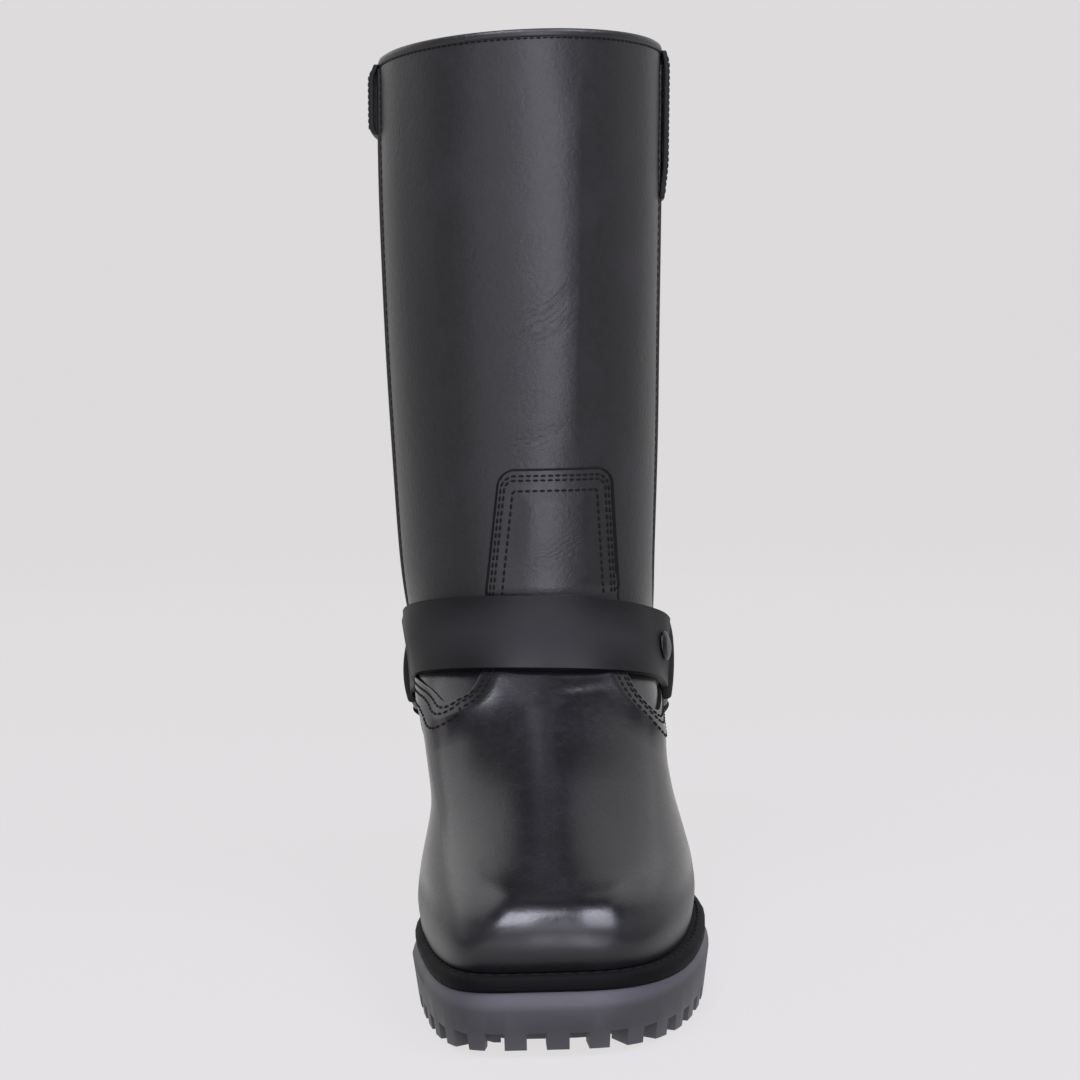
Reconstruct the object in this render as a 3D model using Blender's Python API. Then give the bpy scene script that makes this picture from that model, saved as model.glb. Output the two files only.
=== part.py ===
"""A left harness boot: lug sole, heel, welt, insole, hollow upper, harness straps, rings and pulls.

Lengths are in millimetres until a mesh is made. A place on the boot is (x, s, z): x out to the
lateral side, s forward from the back of the sole, z up from the floor. The toe points along -Y.
"""
import functools
import math
from collections import namedtuple

import bmesh
import bpy
import numpy as np
from mathutils import Vector

MM = 0.001
MEDIAL, LATERAL = -1, 1
GAP = 0.3
MERGE_DISTANCE = 0.0005
SHARP_ANGLE = 40

# Sole, heel and welt
SOLE_LENGTH = 302
HEEL_SEAT = 40
HEEL_SEAT_END = 74
FORE_SOLE = 19
BALL_START, BALL_END = 200, 250
TOE_SPRING = 2.5
WAIST_SLAB = 9
LUGS_START, LUGS_RAMP = 157, 6
RIM_BEVEL, RIM_BEVEL_HEIGHT = 1.8, 4.5
RIM_DRAFT = 2
HEEL_BREAST_TOP, HEEL_BREAST_BOTTOM = 72, 69
HEEL_TAPER = 2.5
WELT_HEIGHT = 5.5
WELT_INSET, WELT_ROUND = 1.2, 1.6
WELT_INNER = 7

# Tread
LUG_DEPTH = 5.5
GROOVE_WIDTH = 6.5
GROOVE_PITCH = 14
GROOVE_REACH = 15
GROOVE_OVERRUN = 4
FIRST_GROOVE = 6
CHANNEL_INSET, CHANNEL_WIDTH = 14, 5
BAR_GROOVES = (192, 212, 232, 252)
HEEL_GROOVE_REACH = 11
HEEL_BAR_GROOVE, HEEL_BAR_HALF = 42, 22
BAR_OVERLAP = 2
RUN_REACH = 2

# Upper
WALL = 2.4
STRANDS = 46
RINGS_PER_SECTION = 2
COLLAR_TILT, COLLAR_TILT_START = 2, 300
WAIST_POWER = 1.3
TAPER_POWER = 1.4
BALL_SKEW = 0.14

# Points along an outline, in the heel, the middle and the toe, and how they crowd at the two ends
Steps = namedtuple("Steps", "heel middle toe")
SOLE_STEPS = Steps(10, 14, 14)
CHANNEL_STEPS = Steps(8, 4, 10)
FINE_STEPS = Steps(60, 50, 100)
HEEL_BLOCK_STEPS = 12
HEEL_CROWDING, TOE_CROWDING = 2.2, 2.5

# Harness
RING_RADIUS = 18
RING_WIRE = 1.8
RING_STEPS, WIRE_SIDES = 28, 8
FOLD = 1.2
FOLD_STEPS = 9
FOLD_CLEARANCE = 0.25
FOLD_RADIUS = RING_WIRE + FOLD_CLEARANCE + FOLD
STRAP_INTO_FOLD = 13.5
STRAP_PULL = math.radians(20)
STRAP_THICKNESS = 2.6
STRAP_HUG = 0.5
STRAP_RISE = 28
FRONT_STRAP_WIDTH, INSTEP_WIDTH, INSTEP_HEIGHT = 30, 27, 122
HEEL_STRAP_WIDTH, HEEL_STRAP_HEIGHT = 24, 116
UNDER_STRAP_WIDTH, UNDER_STRAP_LEAN, UNDER_STRAP_RISE = 18, 8, 40
FRONT_STRAP_STEPS, HEEL_STRAP_STEPS, UNDER_STRAP_STEPS = 27, 25, 9
ACROSS = np.array([-.5, 0, .5])
STUD_RADIUS, STUD_TOP_RADIUS, STUD_SIDES = 6.2, 3.7, 16
STUD_EDGE, STUD_DOME = 0.6, 1.9
STUD_SETBACK = 14

Ring = namedtuple("Ring", "side s height standoff")
RING_MEDIAL = Ring(MEDIAL, 48, 96.3, 5.2)
RING_LATERAL = Ring(LATERAL, 80, 100.3, 5.2)

Pull = namedtuple("Pull", "side s top bottom width standoff taper")
PULL_THICKNESS = 2.4
PULL_TOP_TURN = 6
PULL_STEPS = 13
PULL_MEDIAL = Pull(MEDIAL, 70, 352, 323, 22, 2.2, 3)
PULL_LATERAL = Pull(LATERAL, 72, 356, 295, 22, 1.3, 16)

# An outline seen from above. level: height at the toe; lift: share of the heel seat's rise it follows;
# back, leg, fore, front: stations of the heel's back, the widest heel or leg, the medial ball and the toe;
# heel_in to fore_out: half widths at leg and fore; waist: how far the arch is drawn in;
# round, toe_in, toe_out: powers of the heel and toe curves (2 is an ellipse); taper: narrowing to the toe.
Section = namedtuple("Section", "level lift back leg fore front heel_in heel_out fore_in fore_out "
                                "waist round taper toe_in toe_out")

SOLE = Section(0, 1, 0, 60, 218, SOLE_LENGTH, 39, 40, 48.2, 60.8, 4.5, 2.5, .25, 6, 3.3)
FOREPART = SOLE._replace(back=163, leg=195, heel_in=45, heel_out=53, waist=0, round=3)

FEATHER = FORE_SOLE + TOE_SPRING + WELT_HEIGHT + GAP
ROW_TOLERANCE = 1e-8
UPPER = (
    Section(FEATHER, 1, 10.5, 62, 213, 294.5, 33.5, 34.5, 45, 55, 4, 2.5, .26, 6, 3.5),
    Section(36, .8, 7.5, 64, 212, 296, 36, 38, 46, 56.4, 3, 2.45, .26, 5.5, 3.4),
    Section(46, .55, 5.5, 66, 208, 290, 38, 41, 44.8, 55.2, 2.5, 2.4, .24, 3.4, 2.7),
    Section(54, .32, 5, 68, 200, 270, 39.3, 43.5, 42.8, 53.2, 2, 2.35, .15, 2.5, 2.2),
    Section(64, .12, 5.5, 72, 184, 240, 40.6, 46, 41, 51, 1.5, 2.3, .1, 2.35, 2.25),
    Section(77, 0, 8, 78, 160, 208, 43.2, 48, 43, 50, .5, 2.2, .05, 2.2, 2.2),
    Section(93, 0, 11.5, 84, 130, 182, 45.6, 49.3, 45.8, 49.6, 0, 2.1, 0, 2.1, 2.1),
    Section(109, 0, 14.5, 86, 104, 160.5, 47.2, 50, 47.2, 50.1, 0, 2.05, 0, 2, 2),
    Section(127, 0, 16, 82, 86, 148, 50.4, 51, 50.4, 51, 0, 2, 0, 2, 2),
    Section(150, 0, 16, 79, 80, 142.5, 53, 51.8, 53, 51.8, 0, 2, 0, 2, 2),
    Section(195, 0, 13.5, 76, 77, 140, 55.4, 53.8, 55.4, 53.8, 0, 2, 0, 2, 2),
    Section(240, 0, 9.5, 74, 75, 139.5, 57.3, 55.2, 57.3, 55.2, 0, 2, 0, 2, 2),
    Section(300, 0, 5.5, 73, 74, 140, 58.6, 57, 58.6, 57, 0, 2, 0, 2, 2),
    Section(355, 0, 4, 72.5, 73.5, 141, 58.3, 58.5, 58.3, 58.5, 0, 2, 0, 2, 2),
)

Finish = namedtuple("Finish", "red green blue roughness metallic")
BLACK_LEATHER = Finish(.012, .012, .014, .42, 0)
STRAP_LEATHER = Finish(.014, .013, .014, .5, 0)
WELT_LEATHER = Finish(.008, .008, .009, .6, 0)
INSOLE_BOARD = Finish(.05, .045, .04, .8, 0)
SOLE_RUBBER = Finish(.025, .025, .028, .7, 0)
NICKEL = Finish(.36, .36, .37, .3, 1)
BLACK_METAL = Finish(.03, .03, .032, .35, .6)


# Shape of the last

def ease(t):
    """Smooth step from 0 to 1."""
    t = min(max(t, 0), 1)
    return t * t * (3 - 2 * t)


def seat(s):
    """Height of the outsole's top at station s."""
    drop = ease((s - HEEL_SEAT_END) / (BALL_START - HEEL_SEAT_END))
    spring = TOE_SPRING * max(0, (s - BALL_END) / (SOLE_LENGTH - BALL_END)) ** 2
    return HEEL_SEAT - (HEEL_SEAT - FORE_SOLE) * drop + spring


def tread(s):
    """Height of the outsole's underside at station s: thin in the waist, on the floor at the ball."""
    return seat(s) - WAIST_SLAB - (FORE_SOLE - WAIST_SLAB) * ease((s - LUGS_START) / LUGS_RAMP)


def half_width(section, s, side):
    """Half width of an outline at station s, on one side."""
    ball = section.fore
    if side == MEDIAL:
        heel, fore, toe, waist = section.heel_in, section.fore_in, section.toe_in, section.waist
    else:
        heel, fore, toe, waist = section.heel_out, section.fore_out, section.toe_out, section.waist / 2
        ball -= BALL_SKEW * (section.fore - section.leg)
    if s < section.leg:
        t = min((section.leg - s) / (section.leg - section.back), 1)
        return heel * (1 - t ** section.round) ** (1 / section.round)
    if s < ball:
        t = (s - section.leg) / (ball - section.leg)
        return heel + (fore - heel) * ease(t ** WAIST_POWER) - waist * math.sin(math.pi * t) ** 2
    t = min((s - ball) / (section.front - ball), 1)
    return fore * (1 - section.taper * t ** TAPER_POWER) * (1 - t ** toe) ** (1 / toe)


def inset(section, distance):
    """The same outline drawn in by a distance all round."""
    names = ("heel_in", "heel_out", "fore_in", "fore_out")
    widths = {name: getattr(section, name) - distance for name in names}
    return section._replace(back=section.back + distance, front=section.front - distance, **widths)


def stations(section, steps=SOLE_STEPS):
    """Stations from heel to toe, close together where the two ends turn."""
    heel = np.linspace(0, 1, steps.heel, endpoint=False) ** HEEL_CROWDING
    middle = np.linspace(section.leg, section.fore, steps.middle, endpoint=False)
    toe = np.linspace(1, 0, steps.toe + 1) ** TOE_CROWDING
    return np.concatenate([section.back + (section.leg - section.back) * heel, middle,
                           section.front - (section.front - section.fore) * toe])


def side_line(section, steps, side):
    """One side of an outline as an array of (x, s), from heel to toe."""
    return np.array([(side * half_width(section, s, side), s) for s in steps])


def outline_ring(section, steps, height):
    """Points up an outline's medial side and back down its lateral one, at the height of each station."""
    line = np.vstack([side_line(section, steps, MEDIAL), side_line(section, steps, LATERAL)[::-1]])
    return [(x, s, height(s)) for x, s in line]


def along(line, fractions):
    """Points at fractions of a line's length."""
    lengths = np.concatenate([[0], np.cumsum(np.linalg.norm(np.diff(line, axis=0), axis=1))])
    places = np.asarray(fractions) * lengths[-1]
    return np.column_stack([np.interp(places, lengths, line[:, axis]) for axis in range(line.shape[1])])


# Surface of the upper

def upper_section(v):
    """The upper's outline at a fractional row v of its table, on a smooth curve through the rows."""
    row = min(int(v), len(UPPER) - 2)
    t = v - row
    before, after = max(row - 1, 0), min(row + 2, len(UPPER) - 1)
    p0, p1, p2, p3 = (np.array(UPPER[i], dtype=float) for i in (before, row, row + 1, after))
    slope1 = (p2 - p0) / (row + 1 - before)
    slope2 = (p3 - p1) / (after - row)
    return Section(*(p1 * (1 + 2 * t) * (1 - t) ** 2 + slope1 * t * (1 - t) ** 2
                     + p2 * t * t * (3 - 2 * t) - slope2 * t * t * (1 - t)))


def section_height(section, s):
    """Height of an upper section at station s: the low ones follow the heel's rise."""
    return section.level + section.lift * (seat(s) - seat(SOLE_LENGTH))


def row_at(s, z):
    """The fractional row whose section passes height z at station s."""
    low, high = 0.0, len(UPPER) - 1.0
    while high - low > ROW_TOLERANCE:
        middle = (low + high) / 2
        if section_height(upper_section(middle), s) < z:
            low = middle
        else:
            high = middle
    return (low + high) / 2


def on_side(side, s, z):
    """Point of the upper's outside at station s and height z."""
    return np.array([side * half_width(upper_section(row_at(s, z)), s, side), s, z])


@functools.lru_cache(maxsize=None)
def girth(v):
    """Fine medial and lateral lines of the outline at row v, from heel to toe."""
    section = upper_section(v)
    steps = stations(section, FINE_STEPS)
    return side_line(section, steps, MEDIAL), side_line(section, steps, LATERAL)


def grid_normals(grid, ring=False, level=()):
    """Outward unit normals of a grid of surface points, turned level in some rows.

    The columns of a ring close up.
    """
    around = np.roll(grid, -1, 1) - np.roll(grid, 1, 1) if ring else np.gradient(grid, axis=1)
    normals = np.cross(around, np.gradient(grid, axis=0))
    for row in level:
        normals[row, :, 2] = 0
    normals /= np.linalg.norm(normals, axis=2, keepdims=True)
    leg_axis = np.array([0, UPPER[-1].leg, 0])
    outward = np.sum(normals * (grid - leg_axis) * (1, 1, 0), axis=(0, 1)).sum()
    return normals if outward > 0 else -normals


# Meshes and objects

def place(point):
    """A boot place in millimetres as a Blender vector in metres."""
    x, s, z = point
    return Vector((x, -s, z)) * MM


def loft(rings, close=False, capped=False):
    """A bmesh skinned over rings of points, closed into a loop of rings or capped at both ends."""
    bm = bmesh.new()
    rows = [[bm.verts.new(place(point)) for point in ring] for ring in rings]
    count = len(rows[0])
    pairs = list(zip(rows, rows[1:]))
    if close:
        pairs.append((rows[-1], rows[0]))
    for low, high in pairs:
        for i in range(count):
            bm.faces.new((low[i - 1], low[i], high[i], high[i - 1]))
    if capped:
        for row in (rows[0], rows[-1]):
            for i in range(count // 2 - 1):
                bm.faces.new((row[i], row[i + 1], row[count - 2 - i], row[count - 1 - i]))
    return bm


def add_object(name, bm, finish=None):
    """Turn a bmesh into a piece of the boot, or into a hidden cutter when it has no finish."""
    bmesh.ops.remove_doubles(bm, verts=bm.verts, dist=MERGE_DISTANCE * MM)
    bmesh.ops.recalc_face_normals(bm, faces=bm.faces)
    mesh = bpy.data.meshes.new(name)
    bm.to_mesh(mesh)
    bm.free()
    piece = bpy.data.objects.new(name, mesh)
    bpy.context.scene.collection.objects.link(piece)
    piece.parent = boot
    if finish is None:
        piece.hide_render = True
        piece.display_type = 'WIRE'
        return piece
    material = bpy.data.materials.new(name)
    material.use_nodes = True
    shader = material.node_tree.nodes["Principled BSDF"]
    shader.inputs["Base Color"].default_value = (finish.red, finish.green, finish.blue, 1)
    shader.inputs["Roughness"].default_value = finish.roughness
    shader.inputs["Metallic"].default_value = finish.metallic
    mesh.materials.append(material)
    mesh.shade_smooth()
    mesh.set_sharp_from_angle(angle=math.radians(SHARP_ANGLE))
    return piece


def combine(piece, other, operation='DIFFERENCE'):
    """Cut a piece with a hidden one, whose own boxes may cross, or join the hidden one to it."""
    modifier = piece.modifiers.new(other.name, 'BOOLEAN')
    modifier.operation = operation
    modifier.object = other
    modifier.use_self = operation == 'DIFFERENCE'


# Sole, heel, welt and insole

def sole_ring(section, height):
    """Ring round a sole outline, with stations at the step where the lugs start."""
    steps = np.append(stations(section), (LUGS_START, LUGS_START + LUGS_RAMP))
    return outline_ring(section, np.sort(steps), height)


def lug_top(s):
    """Height of the groove floors between the lugs."""
    return tread(s) + LUG_DEPTH


def rim_grooves(start, end, reach):
    """Grooves round the rim between two stations: (x, s, inward x, inward s, reach)."""
    steps = stations(SOLE, FINE_STEPS)
    medial, lateral = side_line(SOLE, steps, MEDIAL), side_line(SOLE, steps, LATERAL)
    rim = np.vstack([lateral, medial[::-1]])
    total = np.linalg.norm(np.diff(rim, axis=0), axis=1).sum()
    toe = np.linalg.norm(np.diff(lateral, axis=0), axis=1).sum() + FIRST_GROOVE
    count = int(total / GROOVE_PITCH)
    grooves = []
    for length in toe + GROOVE_PITCH * np.arange(-count, count):
        if not RUN_REACH < length < total - RUN_REACH:
            continue
        behind, middle, ahead = along(rim, (length + np.array([-RUN_REACH, 0, RUN_REACH])) / total)
        run = (ahead - behind) / np.linalg.norm(ahead - behind)
        if start < middle[1] < end:
            grooves.append((*middle, -run[1], run[0], reach))
    return grooves


def groove_cutter(name, grooves, top):
    """One cutter of upright boxes, each reaching in from its place."""
    bm = bmesh.new()
    for x, s, inward_x, inward_s, reach in grooves:
        start, inward = np.array([x, s]), np.array([inward_x, inward_s])
        side = np.array([inward_s, -inward_x]) * GROOVE_WIDTH / 2
        outer, inner = start - inward * GROOVE_OVERRUN, start + inward * reach
        corners = (outer - side, outer + side, inner + side, inner - side)
        low = [bm.verts.new(place((*corner, -GROOVE_OVERRUN))) for corner in corners]
        high = [bm.verts.new(place((*corner, top(s)))) for corner in corners]
        bm.faces.new(low)
        bm.faces.new(high)
        for i in range(4):
            bm.faces.new((low[i - 1], low[i], high[i], high[i - 1]))
    return add_object(name, bm)


def make_outsole():
    """Rubber outsole: bevelled rim, arch, toe spring, rim lugs and cross bars under the ball."""
    rings = (sole_ring(inset(SOLE, RIM_DRAFT), tread),
             sole_ring(SOLE, lambda s: seat(s) - RIM_BEVEL_HEIGHT),
             sole_ring(inset(SOLE, RIM_BEVEL), seat))
    outsole = add_object("outsole", loft(rings, capped=True), SOLE_RUBBER)
    grooves = rim_grooves(LUGS_START + 2 * LUGS_RAMP, SOLE_LENGTH + 1, GROOVE_REACH)
    combine(outsole, groove_cutter("rim_grooves", grooves, lug_top))

    def below(s):
        return -GROOVE_OVERRUN

    outer = inset(FOREPART, CHANNEL_INSET)
    inner = inset(outer, CHANNEL_WIDTH)
    channel = [outline_ring(section, stations(section, CHANNEL_STEPS), height)
               for section, height in ((outer, below), (outer, lug_top), (inner, lug_top), (inner, below))]
    combine(outsole, add_object("tread_channel", loft(channel, close=True)))

    bars = []
    for s in BAR_GROOVES:
        left, right = half_width(inner, s, MEDIAL), half_width(inner, s, LATERAL)
        bars.append((-left + BAR_OVERLAP, s, 1, 0, left + right))
    combine(outsole, groove_cutter("bar_grooves", bars, lug_top))
    return outsole


def make_heel():
    """Stacked rubber heel under the heel seat, lugged round its edge like the forepart."""
    def heel_ring(distance, breast, height):
        section = inset(SOLE, distance)
        back = np.linspace(0, 1, HEEL_BLOCK_STEPS, endpoint=False) ** HEEL_CROWDING
        steps = np.append(section.back + (section.leg - section.back) * back, (section.leg, breast))
        return outline_ring(section, steps, lambda s: height)

    top = HEEL_SEAT - WAIST_SLAB - GAP
    rings = (heel_ring(HEEL_TAPER, HEEL_BREAST_BOTTOM, 0), heel_ring(RIM_DRAFT, HEEL_BREAST_TOP, top))
    heel = add_object("heel", loft(rings, capped=True), SOLE_RUBBER)
    grooves = rim_grooves(-1, HEEL_BREAST_BOTTOM - GROOVE_WIDTH, HEEL_GROOVE_REACH)
    grooves.append((-HEEL_BAR_HALF, HEEL_BAR_GROOVE, 1, 0, 2 * HEEL_BAR_HALF))
    combine(heel, groove_cutter("heel_grooves", grooves, lambda s: LUG_DEPTH))
    return heel


def make_welt():
    """Leather welt that runs all round between the outsole and the upper."""
    rings = []
    for section, rise in ((inset(SOLE, WELT_INSET), GAP),
                          (inset(SOLE, WELT_INSET), WELT_HEIGHT - WELT_ROUND),
                          (inset(SOLE, WELT_INSET + WELT_ROUND), WELT_HEIGHT),
                          (inset(UPPER[0], WELT_INNER), WELT_HEIGHT),
                          (inset(UPPER[0], WELT_INNER), GAP)):
        rings.append(outline_ring(section, stations(section), lambda s, rise=rise: seat(s) + rise))
    return add_object("welt", loft(rings, close=True), WELT_LEATHER)


def make_insole():
    """Insole board that fills the welt's ring."""
    section = inset(UPPER[0], WELT_INNER + GAP)
    rings = [outline_ring(section, stations(section), lambda s, rise=rise: seat(s) + rise)
             for rise in (GAP, WELT_HEIGHT)]
    return add_object("insole", loft(rings, capped=True), INSOLE_BOARD)


# Upper

def make_upper():
    """Vamp, quarters and shaft as one hollow wall, open at the collar and at the feather line below."""
    rows = np.linspace(0, len(UPPER) - 1, (len(UPPER) - 1) * RINGS_PER_SECTION + 1)
    fractions = np.linspace(0, 1, STRANDS // 2 + 1)
    grid = []
    for v in rows:
        medial, lateral = (along(line, fractions) for line in girth(v))
        ring = np.vstack([medial, lateral[-2:0:-1]])
        section = upper_section(v)
        up_shaft = (section.level - COLLAR_TILT_START) / (UPPER[-1].level - COLLAR_TILT_START)
        tilt = COLLAR_TILT * ease(up_shaft) / UPPER[-1].heel_out
        grid.append([(x, s, section_height(section, s) + tilt * x) for x, s in ring])
    outside = np.array(grid)
    inside = outside - grid_normals(outside, ring=True, level=(0, -1)) * WALL
    return add_object("upper", loft([*outside, *inside[::-1]], close=True), BLACK_LEATHER)


# Harness straps, rings, stud and pulls

def band(name, grid, lifts, thickness, finish, level=()):
    """A strap laid on the upper: a grid of surface points, each row lifted off by its own distance.

    Returns the piece and the grid of its outer face.
    """
    normals = grid_normals(grid, level=level)
    inner = grid + normals * np.asarray(lifts)[:, None, None]
    outer = inner + normals * thickness
    rings = [[*low, *high[::-1]] for low, high in zip(inner, outer)]
    return add_object(name, loft(rings, capped=True), finish), outer


def ring_frame(ring):
    """Centre of a harness ring and its forward, upward and outward directions, square to the upper."""
    reaches = (-RING_RADIUS, RING_RADIUS)
    back, front = (on_side(ring.side, ring.s + reach, ring.height) for reach in reaches)
    low, high = (on_side(ring.side, ring.s, ring.height + reach) for reach in reaches)
    forward = (front - back) / np.linalg.norm(front - back)
    outward = np.cross(forward, high - low)
    outward *= ring.side * np.sign(outward[0]) / np.linalg.norm(outward)
    upward = np.cross(outward, forward) * ring.side
    centre = on_side(ring.side, ring.s, ring.height) + outward * ring.standoff
    return centre, forward, upward, outward


def ring_lift(ring, point):
    """How far a ring's plane stands off a point of the upper."""
    centre, _, _, outward = ring_frame(ring)
    return float(np.dot(centre - point, outward))


def full_turn(count):
    """Equal angles all the way round."""
    return np.linspace(0, 2 * math.pi, count, endpoint=False)


def ring_tube(ring, radius, angles):
    """Rings of points on a tube that follows a harness ring's wire over some angles from its front."""
    centre, forward, upward, outward = ring_frame(ring)
    rings = []
    for angle in angles:
        spoke = forward * math.cos(angle) + upward * math.sin(angle)
        wire = centre + spoke * RING_RADIUS
        rings.append([wire + radius * (spoke * math.cos(turn) + outward * math.sin(turn))
                      for turn in full_turn(WIRE_SIDES) + math.pi / WIRE_SIDES])
    return rings


def make_ring(name, ring):
    """Round wire ring that three straps fold round."""
    return add_object(name, loft(ring_tube(ring, RING_WIRE, full_turn(RING_STEPS)), close=True), NICKEL)


def fold_round(strap, ring, angle, width):
    """Close a strap's end round a ring's wire with a fold that follows the wire and leaves it free."""
    spread = math.asin(width / 2 / RING_RADIUS)
    reach = np.linspace(angle - spread, angle + spread, FOLD_STEPS)
    fold = loft(ring_tube(ring, FOLD_RADIUS, reach), capped=True)
    wire = loft(ring_tube(ring, RING_WIRE + FOLD_CLEARANCE, full_turn(RING_STEPS)), close=True)
    combine(strap, add_object(strap.name + "_fold", fold), 'UNION')
    combine(strap, add_object(strap.name + "_wire", wire))


def strap_grid(ends, height, widths, part, columns):
    """Surface points of a strap that rises between two end heights to a third, with its upright width.

    widths are at the ends and in the middle; part cuts the two fine lines of an outline to the strap's path.
    """
    grid = []
    for u in np.linspace(-1, 1, columns):
        level = ends[0] + (ends[1] - ends[0]) * (u + 1) / 2
        middle = level + (height - sum(ends) / 2) * (1 - u * u)
        width = widths[0] + (widths[1] - widths[0]) * (1 - u * u)
        column = []
        for z in middle + width * ACROSS:
            path = part(*girth(row_at(UPPER[-1].leg, z)))
            x, s = along(path, [(u + 1) / 2])[0]
            column.append((x, s, z))
        grid.append(column)
    return np.array(grid)


def cut_line(line, start, end):
    """The stretch of a heel-to-toe line between two stations."""
    start, end = max(start, line[0, 1]), min(end, line[-1, 1])
    inside = line[(line[:, 1] > start) & (line[:, 1] < end)]
    first, last = ((np.interp(s, line[:, 1], line[:, 0]), s) for s in (start, end))
    return np.vstack([first, inside, last])


def strap_lifts(grid, first, last, rise=STRAP_RISE):
    """How far each row of a strap stands off the upper: close to it, rising to a ring at each end."""
    steps = np.linalg.norm(np.diff(grid[:, 1], axis=0), axis=1)
    length = np.concatenate([[0], np.cumsum(steps)])
    lifts = []
    for here in length:
        rise_first = (first - STRAP_THICKNESS / 2 - STRAP_HUG) * ease(1 - here / rise)
        rise_last = (last - STRAP_THICKNESS / 2 - STRAP_HUG) * ease(1 - (length[-1] - here) / rise)
        lifts.append(STRAP_HUG + rise_first + rise_last)
    return lifts


def make_front_strap():
    """Strap over the instep, from the medial ring to the lateral one, and its lateral stud."""
    medial_end, lateral_end = (ring.s + STRAP_INTO_FOLD for ring in (RING_MEDIAL, RING_LATERAL))

    def over_instep(medial, lateral):
        return np.vstack([cut_line(medial, medial_end, SOLE_LENGTH),
                          cut_line(lateral, lateral_end, SOLE_LENGTH)[::-1]])

    ends = [ring.height + RING_RADIUS * math.sin(STRAP_PULL) for ring in (RING_MEDIAL, RING_LATERAL)]
    widths = (FRONT_STRAP_WIDTH, INSTEP_WIDTH)
    grid = strap_grid(ends, INSTEP_HEIGHT, widths, over_instep, FRONT_STRAP_STEPS)
    lifts = strap_lifts(grid, ring_lift(RING_MEDIAL, grid[0, 1]), ring_lift(RING_LATERAL, grid[-1, 1]))
    strap, face = band("front_strap", grid, lifts, STRAP_THICKNESS, STRAP_LEATHER)
    for ring in (RING_MEDIAL, RING_LATERAL):
        fold_round(strap, ring, STRAP_PULL, FRONT_STRAP_WIDTH)
    to_end = np.linalg.norm(face[:, 1] - face[-1, 1], axis=1)
    row = int(np.argmin(abs(to_end - STUD_SETBACK)))
    outward = grid_normals(face)[row, 1]
    make_stud(face[row, 1] + outward * GAP, outward)


def make_stud(centre, outward):
    """Domed stud on the lateral end of the front strap."""
    across = np.cross(outward, (0, 0, 1))
    across /= np.linalg.norm(across)
    up = np.cross(across, outward)
    rings = []
    for radius, rise in ((STUD_RADIUS, 0), (STUD_RADIUS, STUD_EDGE), (STUD_TOP_RADIUS, STUD_DOME)):
        rings.append([centre + outward * rise + radius * (across * math.cos(turn) + up * math.sin(turn))
                      for turn in full_turn(STUD_SIDES)])
    add_object("stud_lateral", loft(rings, capped=True), BLACK_METAL)


def make_heel_strap():
    """Strap round the back of the heel, from the lateral ring to the medial one."""
    medial_end, lateral_end = (ring.s - STRAP_INTO_FOLD for ring in (RING_MEDIAL, RING_LATERAL))

    def round_heel(medial, lateral):
        return np.vstack([cut_line(lateral, 0, lateral_end)[::-1], cut_line(medial, 0, medial_end)])

    ends = (RING_LATERAL.height, RING_MEDIAL.height)
    widths = (HEEL_STRAP_WIDTH, HEEL_STRAP_WIDTH)
    grid = strap_grid(ends, HEEL_STRAP_HEIGHT, widths, round_heel, HEEL_STRAP_STEPS)
    lifts = strap_lifts(grid, ring_lift(RING_LATERAL, grid[0, 1]), ring_lift(RING_MEDIAL, grid[-1, 1]))
    strap, _ = band("heel_strap", grid, lifts, STRAP_THICKNESS, STRAP_LEATHER)
    for ring in (RING_MEDIAL, RING_LATERAL):
        fold_round(strap, ring, math.pi, HEEL_STRAP_WIDTH)


def make_under_strap(name, ring):
    """Strap from the bottom of a ring down the quarter to the welt."""
    top = ring.height - STRAP_INTO_FOLD
    grid = []
    for t in np.linspace(0, 1, UNDER_STRAP_STEPS):
        row = []
        for s in ring.s + UNDER_STRAP_LEAN * t + UNDER_STRAP_WIDTH * ACROSS:
            bottom = seat(s) + WELT_HEIGHT + 2 * GAP
            row.append(on_side(ring.side, s, top + (bottom - top) * t))
        grid.append(row)
    grid = np.array(grid)
    at_ring, at_welt = ring_lift(ring, grid[0, 1]), STRAP_HUG + STRAP_THICKNESS / 2
    lifts = strap_lifts(grid, at_ring, at_welt, UNDER_STRAP_RISE)
    strap, _ = band(name, grid, lifts, STRAP_THICKNESS, STRAP_LEATHER, level=(-1,))
    fold_round(strap, ring, -math.pi / 2, UNDER_STRAP_WIDTH)


def make_pull(name, pull):
    """Leather pull sewn to the shaft below the collar, standing off it between its ends."""
    heights = np.linspace(pull.top, pull.bottom, PULL_STEPS)
    steps = pull.s + pull.width * ACROSS
    grid = np.array([[on_side(pull.side, s, z) for s in steps] for z in heights])
    lifts = []
    for z in heights:
        off_ends = ease((pull.top - z) / PULL_TOP_TURN) * ease((z - pull.bottom) / pull.taper)
        lifts.append(GAP + pull.standoff * off_ends)
    band(name, grid, lifts, PULL_THICKNESS, STRAP_LEATHER)


def stand_on_origin():
    """Move the boot so that the bottom centre of its box is the origin."""
    bpy.context.view_layer.update()
    graph = bpy.context.evaluated_depsgraph_get()
    pieces = [child.evaluated_get(graph) for child in boot.children if not child.hide_render]
    corners = np.array([piece.matrix_world @ Vector(corner)
                        for piece in pieces for corner in piece.bound_box])
    low, high = corners.min(axis=0), corners.max(axis=0)
    boot.location = -Vector(((low[0] + high[0]) / 2, (low[1] + high[1]) / 2, low[2]))


for leftover in list(bpy.data.objects):
    bpy.data.objects.remove(leftover, do_unlink=True)
boot = bpy.data.objects.new("harness_boot", None)
bpy.context.scene.collection.objects.link(boot)

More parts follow.
